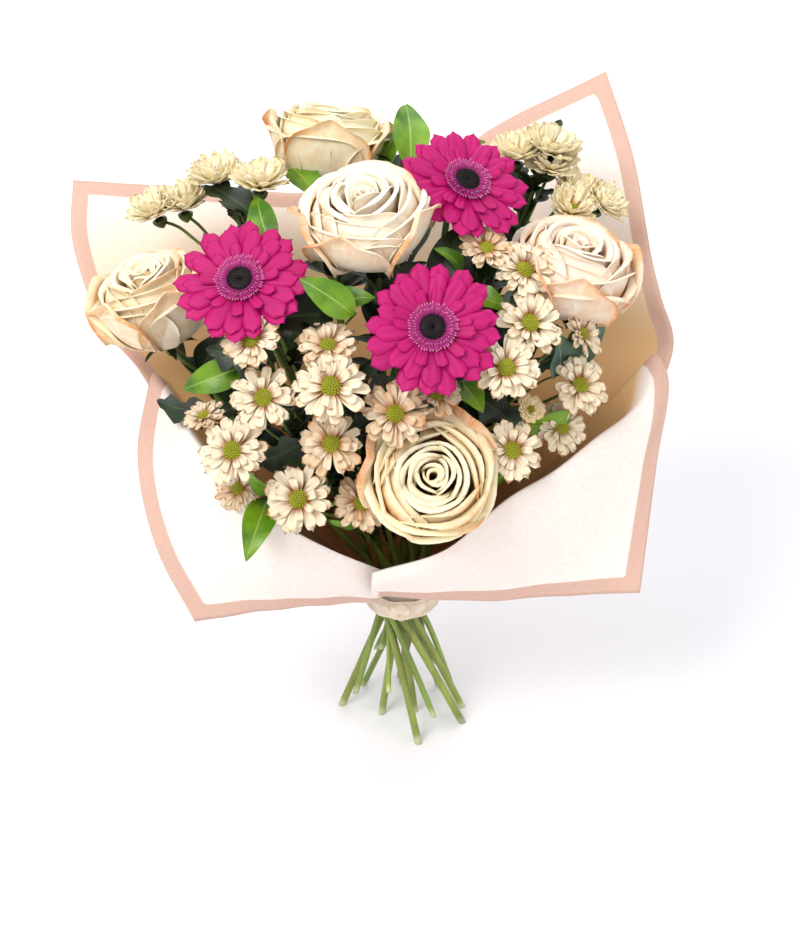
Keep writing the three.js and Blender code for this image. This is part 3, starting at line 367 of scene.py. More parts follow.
def bend_clear(strands):
    """Pushes stems apart at each level and smooths them along, for a fixed number of rounds."""
    by_level = {}
    for strand in strands:
        last = len(strand["points"]) - 1
        for k, point in enumerate(strand["points"]):
            fixed = (k == last and not strand.get("loose")) or ("parent" in strand and k == 0)
            key = math.floor(point[2] / LEVEL_STEP + 0.5)
            by_level.setdefault(key, []).append((strand, point, fixed))
    near = {}
    for turn in range(BEND_ROUNDS):
        for key, places in by_level.items():
            if turn % LOOK_EVERY == 0:
                near[key] = close_pairs(places, LOOK_ROOM)
            push_apart(near[key], places)
        for strand in strands:
            points = strand["points"]
            if "parent" in strand:
                points[0][:2] = point_at(strand["parent"], points[0][2])[:2].tolist()
            if turn >= BEND_ROUNDS - LAST_ROUNDS:
                continue
            for k in range(2 if "parent" in strand else 1, len(points) - 1):
                for axis in (0, 1):
                    middle = 0.5 * (points[k - 1][axis] + points[k + 1][axis])
                    points[k][axis] += 0.3 * (middle - points[k][axis])


def head_at(across, up, lift, depth, face=None):
    point = on_dome(across, up, lift)
    axis = facing(face, point)
    return {"point": point, "axis": axis, "base": point - axis * depth}


strands = []
roses, gerberas, sprays, greens = [], [], [], []
for k, (across, up, lift, face, depth, size) in enumerate(ROSES):
    rose = {"depth": depth, "size": size, **head_at(across, up, lift, depth + 1, face)}
    rose["strand"] = main_strand(f"rose_{k}", rose["base"], rose["axis"], ROSE_STEM)
    strands.append(rose["strand"])
    roses.append(rose)
for k, (across, up, lift, face) in enumerate(GERBERAS):
    gerbera = head_at(across, up, lift, GERBERA_BASE + 1, face)
    gerbera["strand"] = main_strand(f"gerbera_{k}", gerbera["base"], gerbera["axis"], GERBERA_STEM)
    strands.append(gerbera["strand"])
    gerberas.append(gerbera)
for k, (foot, heads) in enumerate(SPRAYS):
    places = []
    for n, (across, up, size, lift, *face) in enumerate(heads):
        place = {"size": size, "young": (k, n) in YOUNG, "joined": (k, n) in JOINED}
        places.append({**place, **head_at(across, up, lift, MUM_BASE + 1.5, *face)})
    first = places[0]
    stem = main_strand(f"spray_{k}", first["base"], first["axis"], SPRAY_STEM, foot)
    lowest = min(place["base"][2] for place in places)
    branches = []
    for n, place in enumerate(places[1:]):
        fork = min(first["base"][2] - 45, place["base"][2] - 60, lowest - 30 + 14 * n)
        fork = max(LOWEST_FORK, fork)
        branches.append(branch_strand(stem, place["base"], place["axis"], MUM_STEM, fork))
    strands += [stem, *branches]
    sprays.append({"places": places, "strand": stem, "branches": branches, "leaves": []})
for name, end, foot, leaves in GREENS:
    point = on_dome(*end)
    axis = unit(dome_normal(point) + unit(point - AXIS_POINT))
    strand = main_strand(name, point, axis, GREENS_STEM, foot)
    strands.append(strand)
    leaves = [(base, tip, width, bool(over), True) for base, tip, width, *over in leaves]
    greens.append({"name": name, "strand": strand, "leaves": leaves})

# each filling leaf belongs to the nearest leafy stem and points away from the middle
leafy = sprays + greens
for k in range(FILL_COUNT):
    reach = math.sqrt((k + 0.5) / FILL_COUNT)
    angle = k * GOLDEN_ANGLE
    across = FILL_ACROSS + FILL_HALF_WIDTH * reach * math.cos(angle)
    up = FILL_UP + FILL_HALF_HEIGHT * reach * math.sin(angle)
    if any(math.hypot(head[0] - across, head[1] - up) < FILL_CLEAR for head in ROSES + GERBERAS):
        continue
    turn = angle + 2.4 * (draw(k) - 0.5)
    base = (across, up, FILL_BASE_LIFT)
    tip = (across + FILL_LENGTH * math.cos(turn), up + FILL_LENGTH * math.sin(turn), FILL_TIP_LIFT)
    at = on_dome(*base)
    nearest = min(leafy, key=lambda plant: np.linalg.norm(point_at(plant["strand"], at[2] - 30) - at))
    width = FILL_WIDTH * (0.8 + 0.4 * draw(k + 9))
    # the filling leaves lie deep in the bouquet and take the dark leaf colour, which paints their shade
    nearest["leaves"].append((base, tip, width, False, False))

for plant in leafy:
    strand = plant["strand"]
    plant["twigs"] = []
    for base, tip, width, over_fold, bright in plant["leaves"]:
        end, towards = [seen_at(*p) if over_fold else on_dome(*p) for p in (base, tip)]
        run = np.linalg.norm(end - point_at(strand, end[2]))
        fork = min(max(end[2] - 20 - 0.8 * run, LOWEST_FORK), strand["points"][-1][2] - 20)
        axis = unit(unit(towards - end) + UP)
        twig = branch_strand(strand, end, axis, TWIG, min(fork, end[2] - 15), loose=True)
        plant["twigs"].append(twig)
    strands += plant["twigs"]
bend_clear(strands)


# ---------------------------------------------------------------- meshes
class Weave:
    """Collects grids of points into one mesh, each point with a tint and a place on its petal.

    Points are given round +Z of the pose that was set last, or from the bouquet's own axis.
    """

    def __init__(self, *pose):
        self.points, self.faces, self.tints, self.odds, self.places, self.slots = [], [], [], [], [], []
        self.turn, self.at = np.eye(3), SHIFT
        if pose:
            self.pose(*pose)

    def pose(self, point, axis, spin=0.0, size=1.0):
        self.turn, self.at = turned(axis, spin) * size, point + SHIFT

    def grid(self, points, tint, place=None, slot=0, closed=False, odd=0.5):
        points = np.asarray(points, float)
        high, wide = points.shape[:2]
        start = len(self.points)
        self.points.extend(points.reshape(-1, 3) @ self.turn.T + self.at)
        self.tints.extend(np.broadcast_to(tint, (high, wide)).reshape(-1))
        self.odds.extend([odd] * (high * wide))
        if place is None:
            v, u = np.meshgrid(np.linspace(0, 1, high), np.linspace(0, 1, wide), indexing="ij")
            place = np.stack([u, v], -1)
        self.places.extend(np.asarray(place, float).reshape(-1, 2))
        for i in range(high - 1):
            for j in range(wide if closed else wide - 1):
                n = (j + 1) % wide
                a, b = start + i * wide, start + (i + 1) * wide
                self.faces.append((a + j, a + n, b + n, b + j))
                self.slots.append(slot)
        return start

    def cap(self, start, count, turned_over=False):
        """Closes a round of points that was the last grid's first or last row."""
        ring = tuple(range(start, start + count))
        self.faces.append(ring[::-1] if turned_over else ring)
        self.slots.append(0)

    def mesh(self, name):
        mesh = bpy.data.meshes.new(name)
        mesh.from_pydata((np.array(self.points) / 1000).tolist(), [], self.faces)
        mesh.polygons.foreach_set("material_index", self.slots)
        mesh.polygons.foreach_set("use_smooth", [True] * len(self.faces))
        for key, values in (("tint", self.tints), ("odd", self.odds)):
            layer = mesh.attributes.new(key, "FLOAT", "POINT")
            layer.data.foreach_set("value", np.array(values, np.float32))
        layer = mesh.uv_layers.new(name="place")
        corners = np.zeros(len(mesh.loops), np.int32)
        mesh.loops.foreach_get("vertex_index", corners)
        layer.data.foreach_set("uv", np.array(self.places)[corners].astype(np.float32).ravel())
        mesh.update()
        return mesh


def piece(name, weave, materials, stands_for, thick=0.0):
    made = bpy.data.objects.new(name, weave.mesh(name))
    bpy.context.scene.collection.objects.link(made)
    for material in materials:
        made.data.materials.append(material)
    if thick:
        solid = made.modifiers.new("thickness", "SOLIDIFY")
        solid.thickness = thick / 1000
        solid.offset = 0
    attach(made, "root")
    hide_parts(stands_for)
    return made


# ---------------------------------------------------------------- materials
def srgb(text):
    channels = [int(text[k : k + 2], 16) / 255 for k in (0, 2, 4)]
    return (*[c / 12.92 if c < 0.04045 else ((c + 0.055) / 1.055) ** 2.4 for c in channels], 1)


BLACK, WHITE = (0, 0, 0, 1), (1, 1, 1, 1)


def palette(text):
    return [srgb(colour) for colour in text.split()]


class Shader:
    """A short way to write a node material."""

    def __init__(self, name, roughness, under=None, **sockets):
        """under is how much light passes below the surface, then how far its red, green and blue go."""
        self.material = bpy.data.materials.new(name)
        self.material.use_nodes = True
        self.tree = self.material.node_tree
        self.surface = self.tree.nodes["Principled BSDF"]
        if under:
            sockets.update(Subsurface_Weight=under[0], Subsurface_Radius=under[1:], Subsurface_Scale=1.0)
        for socket, value in {"Roughness": roughness, **sockets}.items():
            self.surface.inputs[socket.replace("_", " ")].default_value = value

    def node(self, kind, values=(), **settings):
        made = self.tree.nodes.new("ShaderNode" + kind)
        for key, value in settings.items():
            setattr(made, key, value)
        for socket, value in dict(values).items():
            if isinstance(value, bpy.types.NodeSocket):
                self.tree.links.new(value, made.inputs[socket])
            else:
                made.inputs[socket].default_value = value
        return made

    def attribute(self, name="tint"):
        return self.node("Attribute", attribute_name=name).outputs["Fac"]

    def place(self):
        return self.node("UVMap", uv_map="place").outputs["UV"]

    def within(self):
        return self.node("TexCoord").outputs["Object"]

    def noise(self, vector, scale, detail, distortion=0.0):
        """Noise with its own scale along each axis."""
        place = self.node("Mapping", {"Vector": vector, "Scale": scale}).outputs["Vector"]
        values = {"Vector": place, "Scale": 1.0, "Detail": detail, "Distortion": distortion}
        return self.node("TexNoise", values).outputs["Fac"]

    def math(self, operation, *values):
        return self.node("Math", dict(enumerate(values)), operation=operation).outputs[0]

    def ramp(self, value, stops, interpolation="EASE"):
        made = self.node("ValToRGB", {"Fac": value})
        ramp = made.color_ramp
        ramp.interpolation = interpolation
        while len(ramp.elements) < len(stops):
            ramp.elements.new(0.5)
        for element, (at, colour) in zip(ramp.elements, stops):
            element.position = at
            element.color = colour
        return made.outputs["Color"]

    def mix(self, share, one, two, blend="MIX"):
        values = {0: share, 6: one, 7: two}
        return self.node("Mix", values, data_type="RGBA", blend_type=blend).outputs[2]

    def colour(self, value):
        self.tree.links.new(value, self.surface.inputs["Base Color"])

    def bump(self, height, strength, distance):
        values = {"Height": height, "Strength": strength, "Distance": distance}
        made = self.node("Bump", values)
        self.tree.links.new(made.outputs["Normal"], self.surface.inputs["Normal"])


def petal_material(name, colours, sheen=0.05, streak=0.1, spread=0.5, full=0.3):
    """Petal tissue: tint is 0 at the base and 1 at the lip, and odd petals are the warmer ones.

    The colours are those of the base, the body, the lip, the veins and the warmer petals. Where petals
    overlap, the base colour shows low between them as painted warm shade. On the chrysanthemums the warmer
    colour is partly painted shade as well.
    """
    deep, body, tip, vein, warm = palette(colours)
    under = (0.18, 0.005, 0.003, 0.0015)
    shader = Shader(name, 0.55, under, Sheen_Weight=sheen, Specular_IOR_Level=0.3)
    streaks = shader.noise(shader.place(), (24, 1.6, 1), 4)
    patches = shader.noise(shader.within(), (90, 90, 90), 4)
    edge = shader.math("MULTIPLY_ADD", patches, spread, shader.attribute())
    edge = shader.math("SUBTRACT", edge, 0.5 * spread)
    colour = shader.ramp(edge, [(0.0, deep), (full, body), (0.7, body), (1.0, tip)], "LINEAR")
    share = shader.math("MULTIPLY", shader.attribute("odd"), patches)
    colour = shader.mix(share, colour, warm)
    veined = shader.ramp(streaks, [(0.45, BLACK), (0.65, WHITE)])
    shader.colour(shader.mix(shader.math("MULTIPLY", veined, streak), colour, vein))
    shader.bump(streaks, 0.3, 0.0005)
    return shader.material


def leaf_material(name, colours, roughness=0.38):
    """A leaf with a midrib and slanting side veins; the colours are dark, light and the rib's."""
    dark, light, rib = palette(colours)
    shader = Shader(name, roughness, (0.05, 0.001, 0.003, 0.001))
    parts = shader.node("SeparateXYZ", {"Vector": shader.place()})
    middle = shader.math("ABSOLUTE", shader.math("SUBTRACT", parts.outputs["X"], 0.5))
    patches = shader.noise(shader.within(), (45, 45, 45), 4)
    body = shader.ramp(patches, [(0.3, dark), (0.72, light)])
    slant = shader.math("MULTIPLY_ADD", middle, -0.9, parts.outputs["Y"])
    wave = shader.math("SINE", shader.math("MULTIPLY", slant, 62.0))
    side = shader.ramp(wave, [(0.86, BLACK), (1.0, WHITE)])
    body = shader.mix(shader.math("MULTIPLY", side, 0.35), body, light)
    centre = shader.ramp(middle, [(0.012, WHITE), (0.035, BLACK)])
    shader.colour(shader.mix(shader.math("MULTIPLY", centre, 0.7), body, rib))
    veins = shader.math("ADD", side, centre)
    shader.bump(shader.math("SUBTRACT", shader.math("MULTIPLY", patches, 0.4), veins), 0.3, 0.0008)
    return shader.material


def stem_material(name, colours):
    """Stem skin: tint runs from 0 at the pale cut end to 1 at the head."""
    low, high, cut = palette(colours)
    shader = Shader(name, 0.42, (0.06, 0.001, 0.002, 0.001))
    lines = shader.noise(shader.place(), (14, 60, 1), 4)
    patches = shader.noise(shader.within(), (50, 50, 14), 3)
    body = shader.ramp(shader.attribute(), [(0.0, cut), (0.02, low), (0.5, low), (1.0, high)], "LINEAR")
    shade = shader.ramp(patches, [(0.3, (0.62, 0.62, 0.62, 1)), (0.7, (1.15, 1.15, 1.15, 1))])
    shader.colour(shader.mix(1.0, body, shade, "MULTIPLY"))
    shader.bump(lines, 0.25, 0.0005)
    return shader.material


# the body's colour of each rose
ROSE_BODIES = ["FDEEC8", "FEF4E0", "FBF5D6", "FDEFD0", "FEECDA"]
# the first colour of each rose, an orange, is painted warm shade that shows between the petals
ROSE_PETALS = [
    petal_material(f"rose_petal_{k + 1}", f"DC8A2E {body} E0814A FFF4DC F3CE8C", 0.1, 0.25, 0.3, 0.5)
    for k, body in enumerate(ROSE_BODIES)
]
# the chrysanthemums' first, orange-brown colour shows at the base of the rays: partly their own halo round
# the disc, partly painted shade between the rays
MUM_RAY = petal_material("mum_ray", "94420C FFF6DA C67A30 EBB66C C4782C", 0.05, 0.35, 0.6, 0.42)
MUM_YOUNG = petal_material("mum_young", "D0963C FFF8DC F8DC9C FCE8B4 F2C87C", 0.05, 0.3)
MUM_DISC = petal_material("mum_disc", "5C6A0E 989C18 DACC3C 7C8016 8C8C18")
GERBERA_RAY = petal_material("gerbera_ray", "6C0038 BC0066 C80074 DA1888 98004E", 0.0, 0.2)
GERBERA_FRINGE = petal_material("gerbera_fringe", "4A0830 B42A7C FFDCEC DC6CB0 A02470", 0.0, 0.1, 0.1)
GERBERA_EYE = petal_material("gerbera_eye", "050102 10050A 2C1018 0A0205 080203", 0.0)
RUSCUS = leaf_material("ruscus", "3A6C0C 7DA61C A6C25A")
# leaves inside the bouquet: their own dark green, darkened almost to black as painted shade between the
# heads
DARK_SHADED_LEAF = leaf_material("dark_leaf", "0B1807 1F3814 3E5A2A", 0.42)
EUCALYPTUS = leaf_material("eucalyptus", "34503F 617F6B 8BA28D", 0.6)
STEM = stem_material("stem", "929E46 54702A E2E6BC")
DARK_STEM = stem_material("dark_stem", "8BA348 33501C DCE2B4")


# ---------------------------------------------------------------- petals
PETAL_TURN = 0.88  # the share of a petal's rows below the turn of its lip
ROSE_EQUATOR = -3.0
ROSE_CROWN = 23.0


def outline_share(u):
    """The share of the width at u along a petal: narrow at its base and round at its tip."""
    widest, base, blunt = 0.68, 0.42, 2.8
    rise = base + (1 - base) * np.sin(ease(u, 0, widest) * math.pi / 2)
    fall = (1 - ease(u, widest, 1) ** blunt) ** (1 / blunt)
    return rise * np.where(u > widest, fall, 1)


def rose_petal(weave, egg, lip, angle, half, roll, odd, seed, tints, point=0.0, flare=0.0):
    """One petal that hugs an egg round +Z, from below it up to a rounded lip.

    egg is how far it reaches out, up and down, and lip is the lip's angle from the top.
    """
    reach, crown, depth = egg
    body = PETAL_TURN * np.linspace(0, 1, 14) ** 0.8
    t = np.concatenate([body, np.linspace(PETAL_TURN, 1, 9)[1:]])[:, None]
    v = np.sin(np.linspace(-math.pi / 2, math.pi / 2, 17))[None, :]
    corner = 1 - (1 - np.abs(v) ** 2.6) ** (1 / 2.6)
    wave = np.sin(2.6 * v + seed) + 0.4 * np.sin(6.1 * v + 2 * seed)
    rim = lip + 0.75 * corner - point * np.exp(-((v / 0.3) ** 2)) + 0.035 * wave
    theta = lerp(math.pi - 0.05, rim, np.minimum(t, PETAL_TURN) / PETAL_TURN)
    rise = np.where(theta < math.pi / 2, crown, depth)
    out = np.stack([np.sin(theta), np.cos(theta) * reach / rise], -1)
    out /= np.linalg.norm(out, axis=-1)[..., None]
    curl = ease(t, PETAL_TURN, 1) * math.radians(150) * (1 - 0.7 * np.abs(v) ** 3)
    rolled = roll * (1 + 0.25 * wave)
    along = rolled * np.sin(curl)
    away = rolled * (1 - np.cos(curl)) + 0.8 * v + 1.2 * v ** 2
    away = away + (flare + 0.5 * wave) * ease(t, 0.3, 1) ** 2
    r = reach * np.abs(np.sin(theta)) ** 0.8 + out[..., 0] * away - out[..., 1] * along
    z = ROSE_EQUATOR + rise * np.cos(theta) + out[..., 1] * away + out[..., 0] * along
    phi = angle + half * v * (0.45 + 0.55 * np.sin(ease(t, 0, 0.5) * math.pi / 2))
    edge = ease(t, 0.9, 1) ** 1.5 * np.clip(0.35 + 0.65 * wave, 0, 1)
    # below the lip the tint falls towards the deep colour: painted warm shade in the gaps between layers;
    # the peach edge at the lip is the petal's own colour
    tint = lerp(*tints, ease(t, 0.71, PETAL_TURN)) + 0.5 * edge * odd
    weave.grid(polar(r, phi, z), tint, odd=0.5 * odd)


# layers of a rose from the outside in: petals, reach, crown, degrees of the lip from the top, roll, tints;
# the first tint, low on each petal where the next layer covers it, paints warm shade, and the second is
# the lip's own colour
ROSE_LAYERS = [
    (5, 42.5, ROSE_CROWN, 83, 3.6, (0.42, 0.62)),
    (4, 41.0, ROSE_CROWN, 68, 3.4, (0.2, 0.62)),
    (4, 39.4, ROSE_CROWN, 54, 3.2, (0.1, 0.6)),
    (4, 37.4, ROSE_CROWN, 41, 2.8, (0.05, 0.6)),
    (3, 25.0, 45.2, 62, 2.5, (0.05, 0.58)),
    (3, 19.6, 46.5, 61, 2.2, (0.05, 0.56)),
    (3, 14.6, 46.9, 60, 1.9, (0.1, 0.56)),
    (3, 10.2, 46.6, 60, 1.6, (0.15, 0.55)),
    (2, 6.2, 30.0, 42, 1.3, (0.2, 0.54)),
    (2, 3.2, 25.5, 26, 0.9, (0.3, 0.52)),
]
# guard petals of each rose, as the degrees round it where their points are
ROSE_GUARDS = [(57, 165), (200, 250, 330), (190, 270, 350), (160, 230, 300), (215, 270, 20)]


def rose_bloom(weave, depth, size, guards, seed):
    depth += ROSE_EQUATOR
    for n, (count, reach, crown, lip, roll, tints) in enumerate(ROSE_LAYERS):
        for k in range(count):
            odd, other = draw(seed * 31 + n * 7 + k), draw(seed * 13 + n * 11 + k)
            loose = 0.03 if crown == ROSE_CROWN else 0.12
            egg = (size * reach * (1 + loose * (other - 0.5)), crown, depth)
            lean = math.radians(lip + 10 * (odd - 0.5))
            angle = 2 * math.pi * (k + 0.35 * other) / count + 1.9 * n + seed
            rose_petal(weave, egg, lean, angle, 1.42 * math.pi / count, roll * (0.7 + 0.6 * odd), odd,
                       seed + 3 * n + k, tints, flare=1.0 + 1.6 * odd)
    for k, degrees in enumerate(guards):
        egg = (size * 43.5, ROSE_CROWN, depth)
        rose_petal(weave, egg, math.radians(76), math.radians(degrees), 0.72, 3.0, 1.0, seed + k,
                   (0.75, 0.8), point=0.22, flare=8.0)


def ray(weave, angle, start, tip, width, low, high, tints, odd, cup=0.0, droop=0.0, notch=0.0,
        groove=0.0, bend=0.0, twist=0.0, rows=9, columns=7, phase=0.0, slope=3.0):
    """One floret that lies out from +Z: start and tip are distances, low and high are heights."""
    u = np.linspace(0, 1, rows)[:, None]
    v = np.linspace(-1, 1, columns)[None, :]
    teeth = notch * np.abs(np.sin(1.5 * math.pi * v + phase)) * ease(u, 0.78, 1) ** 2
    r = start + (tip - start) * (u - 0.05 * v ** 2 * u ** 3) - teeth
    half = 0.5 * width * outline_share(u)
    side = v * half + bend * u ** 2
    belly = np.sin(math.pi * (0.1 + 0.8 * u))
    z = low + (high - low) * u ** 1.2 - droop * u ** 3 + cup * v ** 2 * belly
    z = z - groove * np.cos(2 * math.pi * v) * belly + twist * v * half * u
    c, s = math.cos(angle), math.sin(angle)
    points = np.stack([r * c - side * s, r * s + side * c, z + 0 * r], -1)
    edge = ease(u, 0.8, 1) + 0.5 * ease(np.abs(v), 0.75, 1) * (u > 0.35)
    # the tint falls to 0 towards the base, giving the deep colour there; on the chrysanthemums that is
    # partly painted shade between the rays
    tint = lerp(*tints, np.clip(edge, 0, 1)) * np.clip(slope * u - 0.15, 0, 1)
    weave.grid(points, tint, odd=odd)


def disc(weave, reach, height, count, size, seed):
    """A domed disc in the second material, its small florets set out by the golden angle."""
    turn = full_turn(20)
    rings = [polar(reach * s, turn, height(s)) for s in (0.02, 0.35, 0.65, 0.9, 1.0)]
    rings.append(rings[-1] * vec(0.95, 0.95, 1) - vec(0, 0, 2.5))
    weave.grid(np.array(rings), 0.1, slot=1, closed=True)
    tints = vec(0.2, 0.45, 0.9, 0.7)[:, None]
    for k in range(count):
        share = math.sqrt((k + 0.5) / count)
        angle = k * GOLDEN_ANGLE
        odd = draw(seed + k)
        middle = vec(reach * share * math.cos(angle), reach * share * math.sin(angle), height(share))
        rings = [
            middle + polar(size * width, full_turn(5) + k, size * (rise + 0.5 * odd))
            for width, rise in ((1.0, -0.8), (0.95, 0.3), (0.5, 0.9), (0.06, 0.8))
        ]
        weave.grid(np.array(rings), tints, slot=1, closed=True, odd=0.5 * odd)


# tiers of a gerbera's rays: count, tip, width, low, high, droop
GERBERA_TIERS = [
    (16, 51.5, 15.0, 0.5, 3.5, 2.4),
    (14, 45.0, 14.5, 2.4, 6.4, 2.6),
    (11, 31.0, 9.0, 3.4, 7.6, 0.4),
]
# tiers of its fringe: count, tip, width, low, high, tints
FRINGE_TIERS = [
    (52, 19.0, 2.2, 5.4, 8.4, (0.3, 1.0)),
    (44, 16.6, 2.1, 5.8, 9.0, (0.3, 0.6)),
    (38, 14.4, 2.0, 6.2, 9.4, (0.3, 1.0)),
    (34, 12.2, 2.0, 6.4, 9.2, (0.1, 0.35)),
]


def gerbera_rays(weave, seed):
    for tier, (count, tip, width, low, high, droop) in enumerate(GERBERA_TIERS):
        for k in range(count):
            odd = draw(seed * 17 + tier * 29 + k)
            other = draw(seed * 5 + tier * 41 + k) - 0.5
            angle = 2 * math.pi * (k + 0.4 * other) / count + 0.37 * tier + seed
            ray(weave, angle, 9, tip * (0.93 + 0.09 * odd), width * (0.92 + 0.16 * odd), low,
                high + 3.0 * other, cup=-1.3, droop=droop, notch=1.0, groove=0.5, bend=3.5 * other,
                twist=0.2 * other, rows=13, columns=9, tints=(0.45, 0.95), odd=0.7 * odd, phase=6 * odd)


def gerbera_centre(weave, seed):
    for tier, (count, tip, width, low, high, tints) in enumerate(FRINGE_TIERS):
        for k in range(count):
            odd = draw(seed * 13 + tier * 23 + k)
            angle = 2 * math.pi * (k + 0.5 * odd) / count + seed
            ray(weave, angle, 8, tip * (0.93 + 0.1 * odd), width, low, high + 1.6 * (odd - 0.5), cup=0.3,
                rows=5, columns=3, tints=tints, odd=0.4 * odd)
    disc(weave, 9.6, lambda s: 8.8 - 2.0 * (1 - s) ** 2 - 2.5 * s ** 6, 100, 0.6, seed)


# heads whose rays are painted more tan than the others, by spray and head: partly their own tan, and
# partly painted shade on heads that sit in shade
TAN_AND_SHADE = {
    (0, 1): 0.5, (0, 3): 0.7, (0, 4): 0.9, (1, 1): 0.6, (1, 2): 0.8, (2, 0): 0.9, (2, 1): 0.8,
    (2, 2): 1.0, (3, 7): 1.0, (4, 3): 0.5, (4, 5): 0.5, (4, 6): 0.9,
}
USUAL_TAN_AND_SHADE = 0.3
# tiers of a chrysanthemum's rays: count, tip, width, low, rise, cup
MUM_TIERS = [
    (14, 29.2, 7.8, 0.0, 0.0, 1.9),
    (12, 25.8, 7.4, 1.6, 3.0, 2.2),
    (8, 18.5, 6.2, 2.6, 5.2, 2.2),
]
YOUNG_TIERS = [
    (13, 26.0, 9.4, 0.0, -4.0, 2.2),
    (12, 22.5, 9.0, 1.2, 0.5, 2.2),
    (10, 17.5, 8.0, 2.0, 3.5, 2.0),
    (7, 12.0, 6.4, 2.4, 5.0, 1.6),
]


def mum_head(weave, young, warm, seed):
    lift = 13 if young else 4
    for tier, (count, tip, width, low, rise, cup) in enumerate(YOUNG_TIERS if young else MUM_TIERS):
        for k in range(count):
            odd = draw(seed * 11 + tier * 19 + k)
            other = draw(seed * 7 + tier * 31 + k) - 0.5
            angle = 2 * math.pi * (k + 0.6 * other) / count + 0.3 * tier + seed
            # the warm share is partly the head's own tan and partly painted shade
            ray(weave, angle, 5, tip * (0.9 + 0.12 * odd), width * (0.85 + 0.2 * odd), low,
                lift + rise + 6.0 * other, cup=cup, droop=0.0 if young else 1.5, notch=2.0, groove=0.3,
                bend=5.0 * other, twist=0.9 * other, tints=(0.5, 0.75 + 0.3 * odd),
                odd=min(1.0, warm * (0.4 + 0.9 * odd)), phase=6 * odd, slope=2.0)
    disc(weave, 7.4, lambda s: 5.2 - 2.4 * s * s, 60, 0.72, seed)


for k, rose in enumerate(roses):
    weave = Weave(rose["point"], rose["axis"])
    rose_bloom(weave, rose["depth"], rose["size"], ROSE_GUARDS[k], k + 1.0)
    piece(f"rose_petals_{k + 1}", weave, [ROSE_PETALS[k]], f"rose_bloom_{k + 1}", thick=0.45)
for k, gerbera in enumerate(gerberas):
    weave = Weave(gerbera["point"], gerbera["axis"], k)
    gerbera_rays(weave, k + 1.0)
    piece(f"gerbera_petals_{k + 1}", weave, [GERBERA_RAY], f"gerbera_rays_{k + 1}", 0.3)
    weave = Weave(gerbera["point"], gerbera["axis"], k)
    gerbera_centre(weave, k + 1.0)
    materials = [GERBERA_FRINGE, GERBERA_EYE]
    piece(f"gerbera_centre_{k + 1}", weave, materials, f"gerbera_eye_{k + 1}", 0.15)
for k, spray in enumerate(sprays):
    bunches = []
    for n, place in enumerate(spray["places"]):
        if not place["joined"]:
            bunches.append((n, Weave()))
        weave = bunches[-1][1]
        weave.pose(place["point"], place["axis"], k + n, place["size"])
        mum_head(weave, place["young"], TAN_AND_SHADE.get((k, n), USUAL_TAN_AND_SHADE), 7.0 * k + n + 1)
    for n, weave in bunches:
        name = f"{k + 1}_{n + 1}"
        rays = MUM_YOUNG if spray["places"][n]["young"] else MUM_RAY
        piece(f"mum_{name}", weave, [rays, MUM_DISC], f"chrysanthemum_{name}", 0.3)


# ---------------------------------------------------------------- stems and leaves
PATH_STEP = 4.0


def smooth_path(points, low):
    """A finer path through a strand's places, from the height low upwards."""
    points = np.array(points, float)
    lengths = lengths_along(points)
    padded = np.vstack([2 * points[0] - points[1], points, 2 * points[-1] - points[-2]])
    path = []
    for k in range(len(points) - 1):
        p0, p1, p2, p3 = padded[k : k + 4]
        count = max(1, int((lengths[k + 1] - lengths[k]) / PATH_STEP))
        for t in np.arange(count) / count:
            bend = 2 * p0 - 5 * p1 + 4 * p2 - p3
            back = 3 * p1 - p0 - 3 * p2 + p3
            path.append(0.5 * (2 * p1 + (p2 - p0) * t + bend * t * t + back * t ** 3))
    path = np.array([*path, points[-1]])
    above = np.nonzero(path[:, 2] > low)[0]
    if len(above) and above[0] > 0:
        a, b = path[above[0] - 1], path[above[0]]
        cut = lerp(a, b, (low - a[2]) / (b[2] - a[2]))
        return np.vstack([cut, path[above[0] :]])
    return path


def tube(weave, path, radius, sides=8, taper=1.0, level_cut=False):
    """A round stem along a path, its cut end level with the floor where it stands."""
    tangents = np.gradient(path, axis=0)
    tangents /= np.linalg.norm(tangents, axis=1)[:, None]
    side = unit(np.cross(tangents[0], vec(0.3, 1, 0.2)))
    count = len(path)
    length = lengths_along(path)
    turn = full_turn(sides)
    rings = []
    for k in range(count):
        side = unit(side - tangents[k] * (side @ tangents[k]))
        over = np.cross(tangents[k], side)
        r = radius * lerp(1, taper, k / (count - 1))
        ring = path[k] + r * (np.cos(turn)[:, None] * side + np.sin(turn)[:, None] * over)
        if level_cut and k == 0:
            drop = (path[0][2] - ring[:, 2]) / tangents[0][2]
            ring = ring + drop[:, None] * tangents[0]
        rings.append(ring)
    across, along = np.meshgrid(np.arange(sides) / sides, length / 40)
    tint = (length / length[-1])[:, None]
    start = weave.grid(np.array(rings), tint, np.stack([across, along], -1), closed=True)
    weave.cap(start, sides, turned_over=True)
    weave.cap(start + (count - 1) * sides, sides)


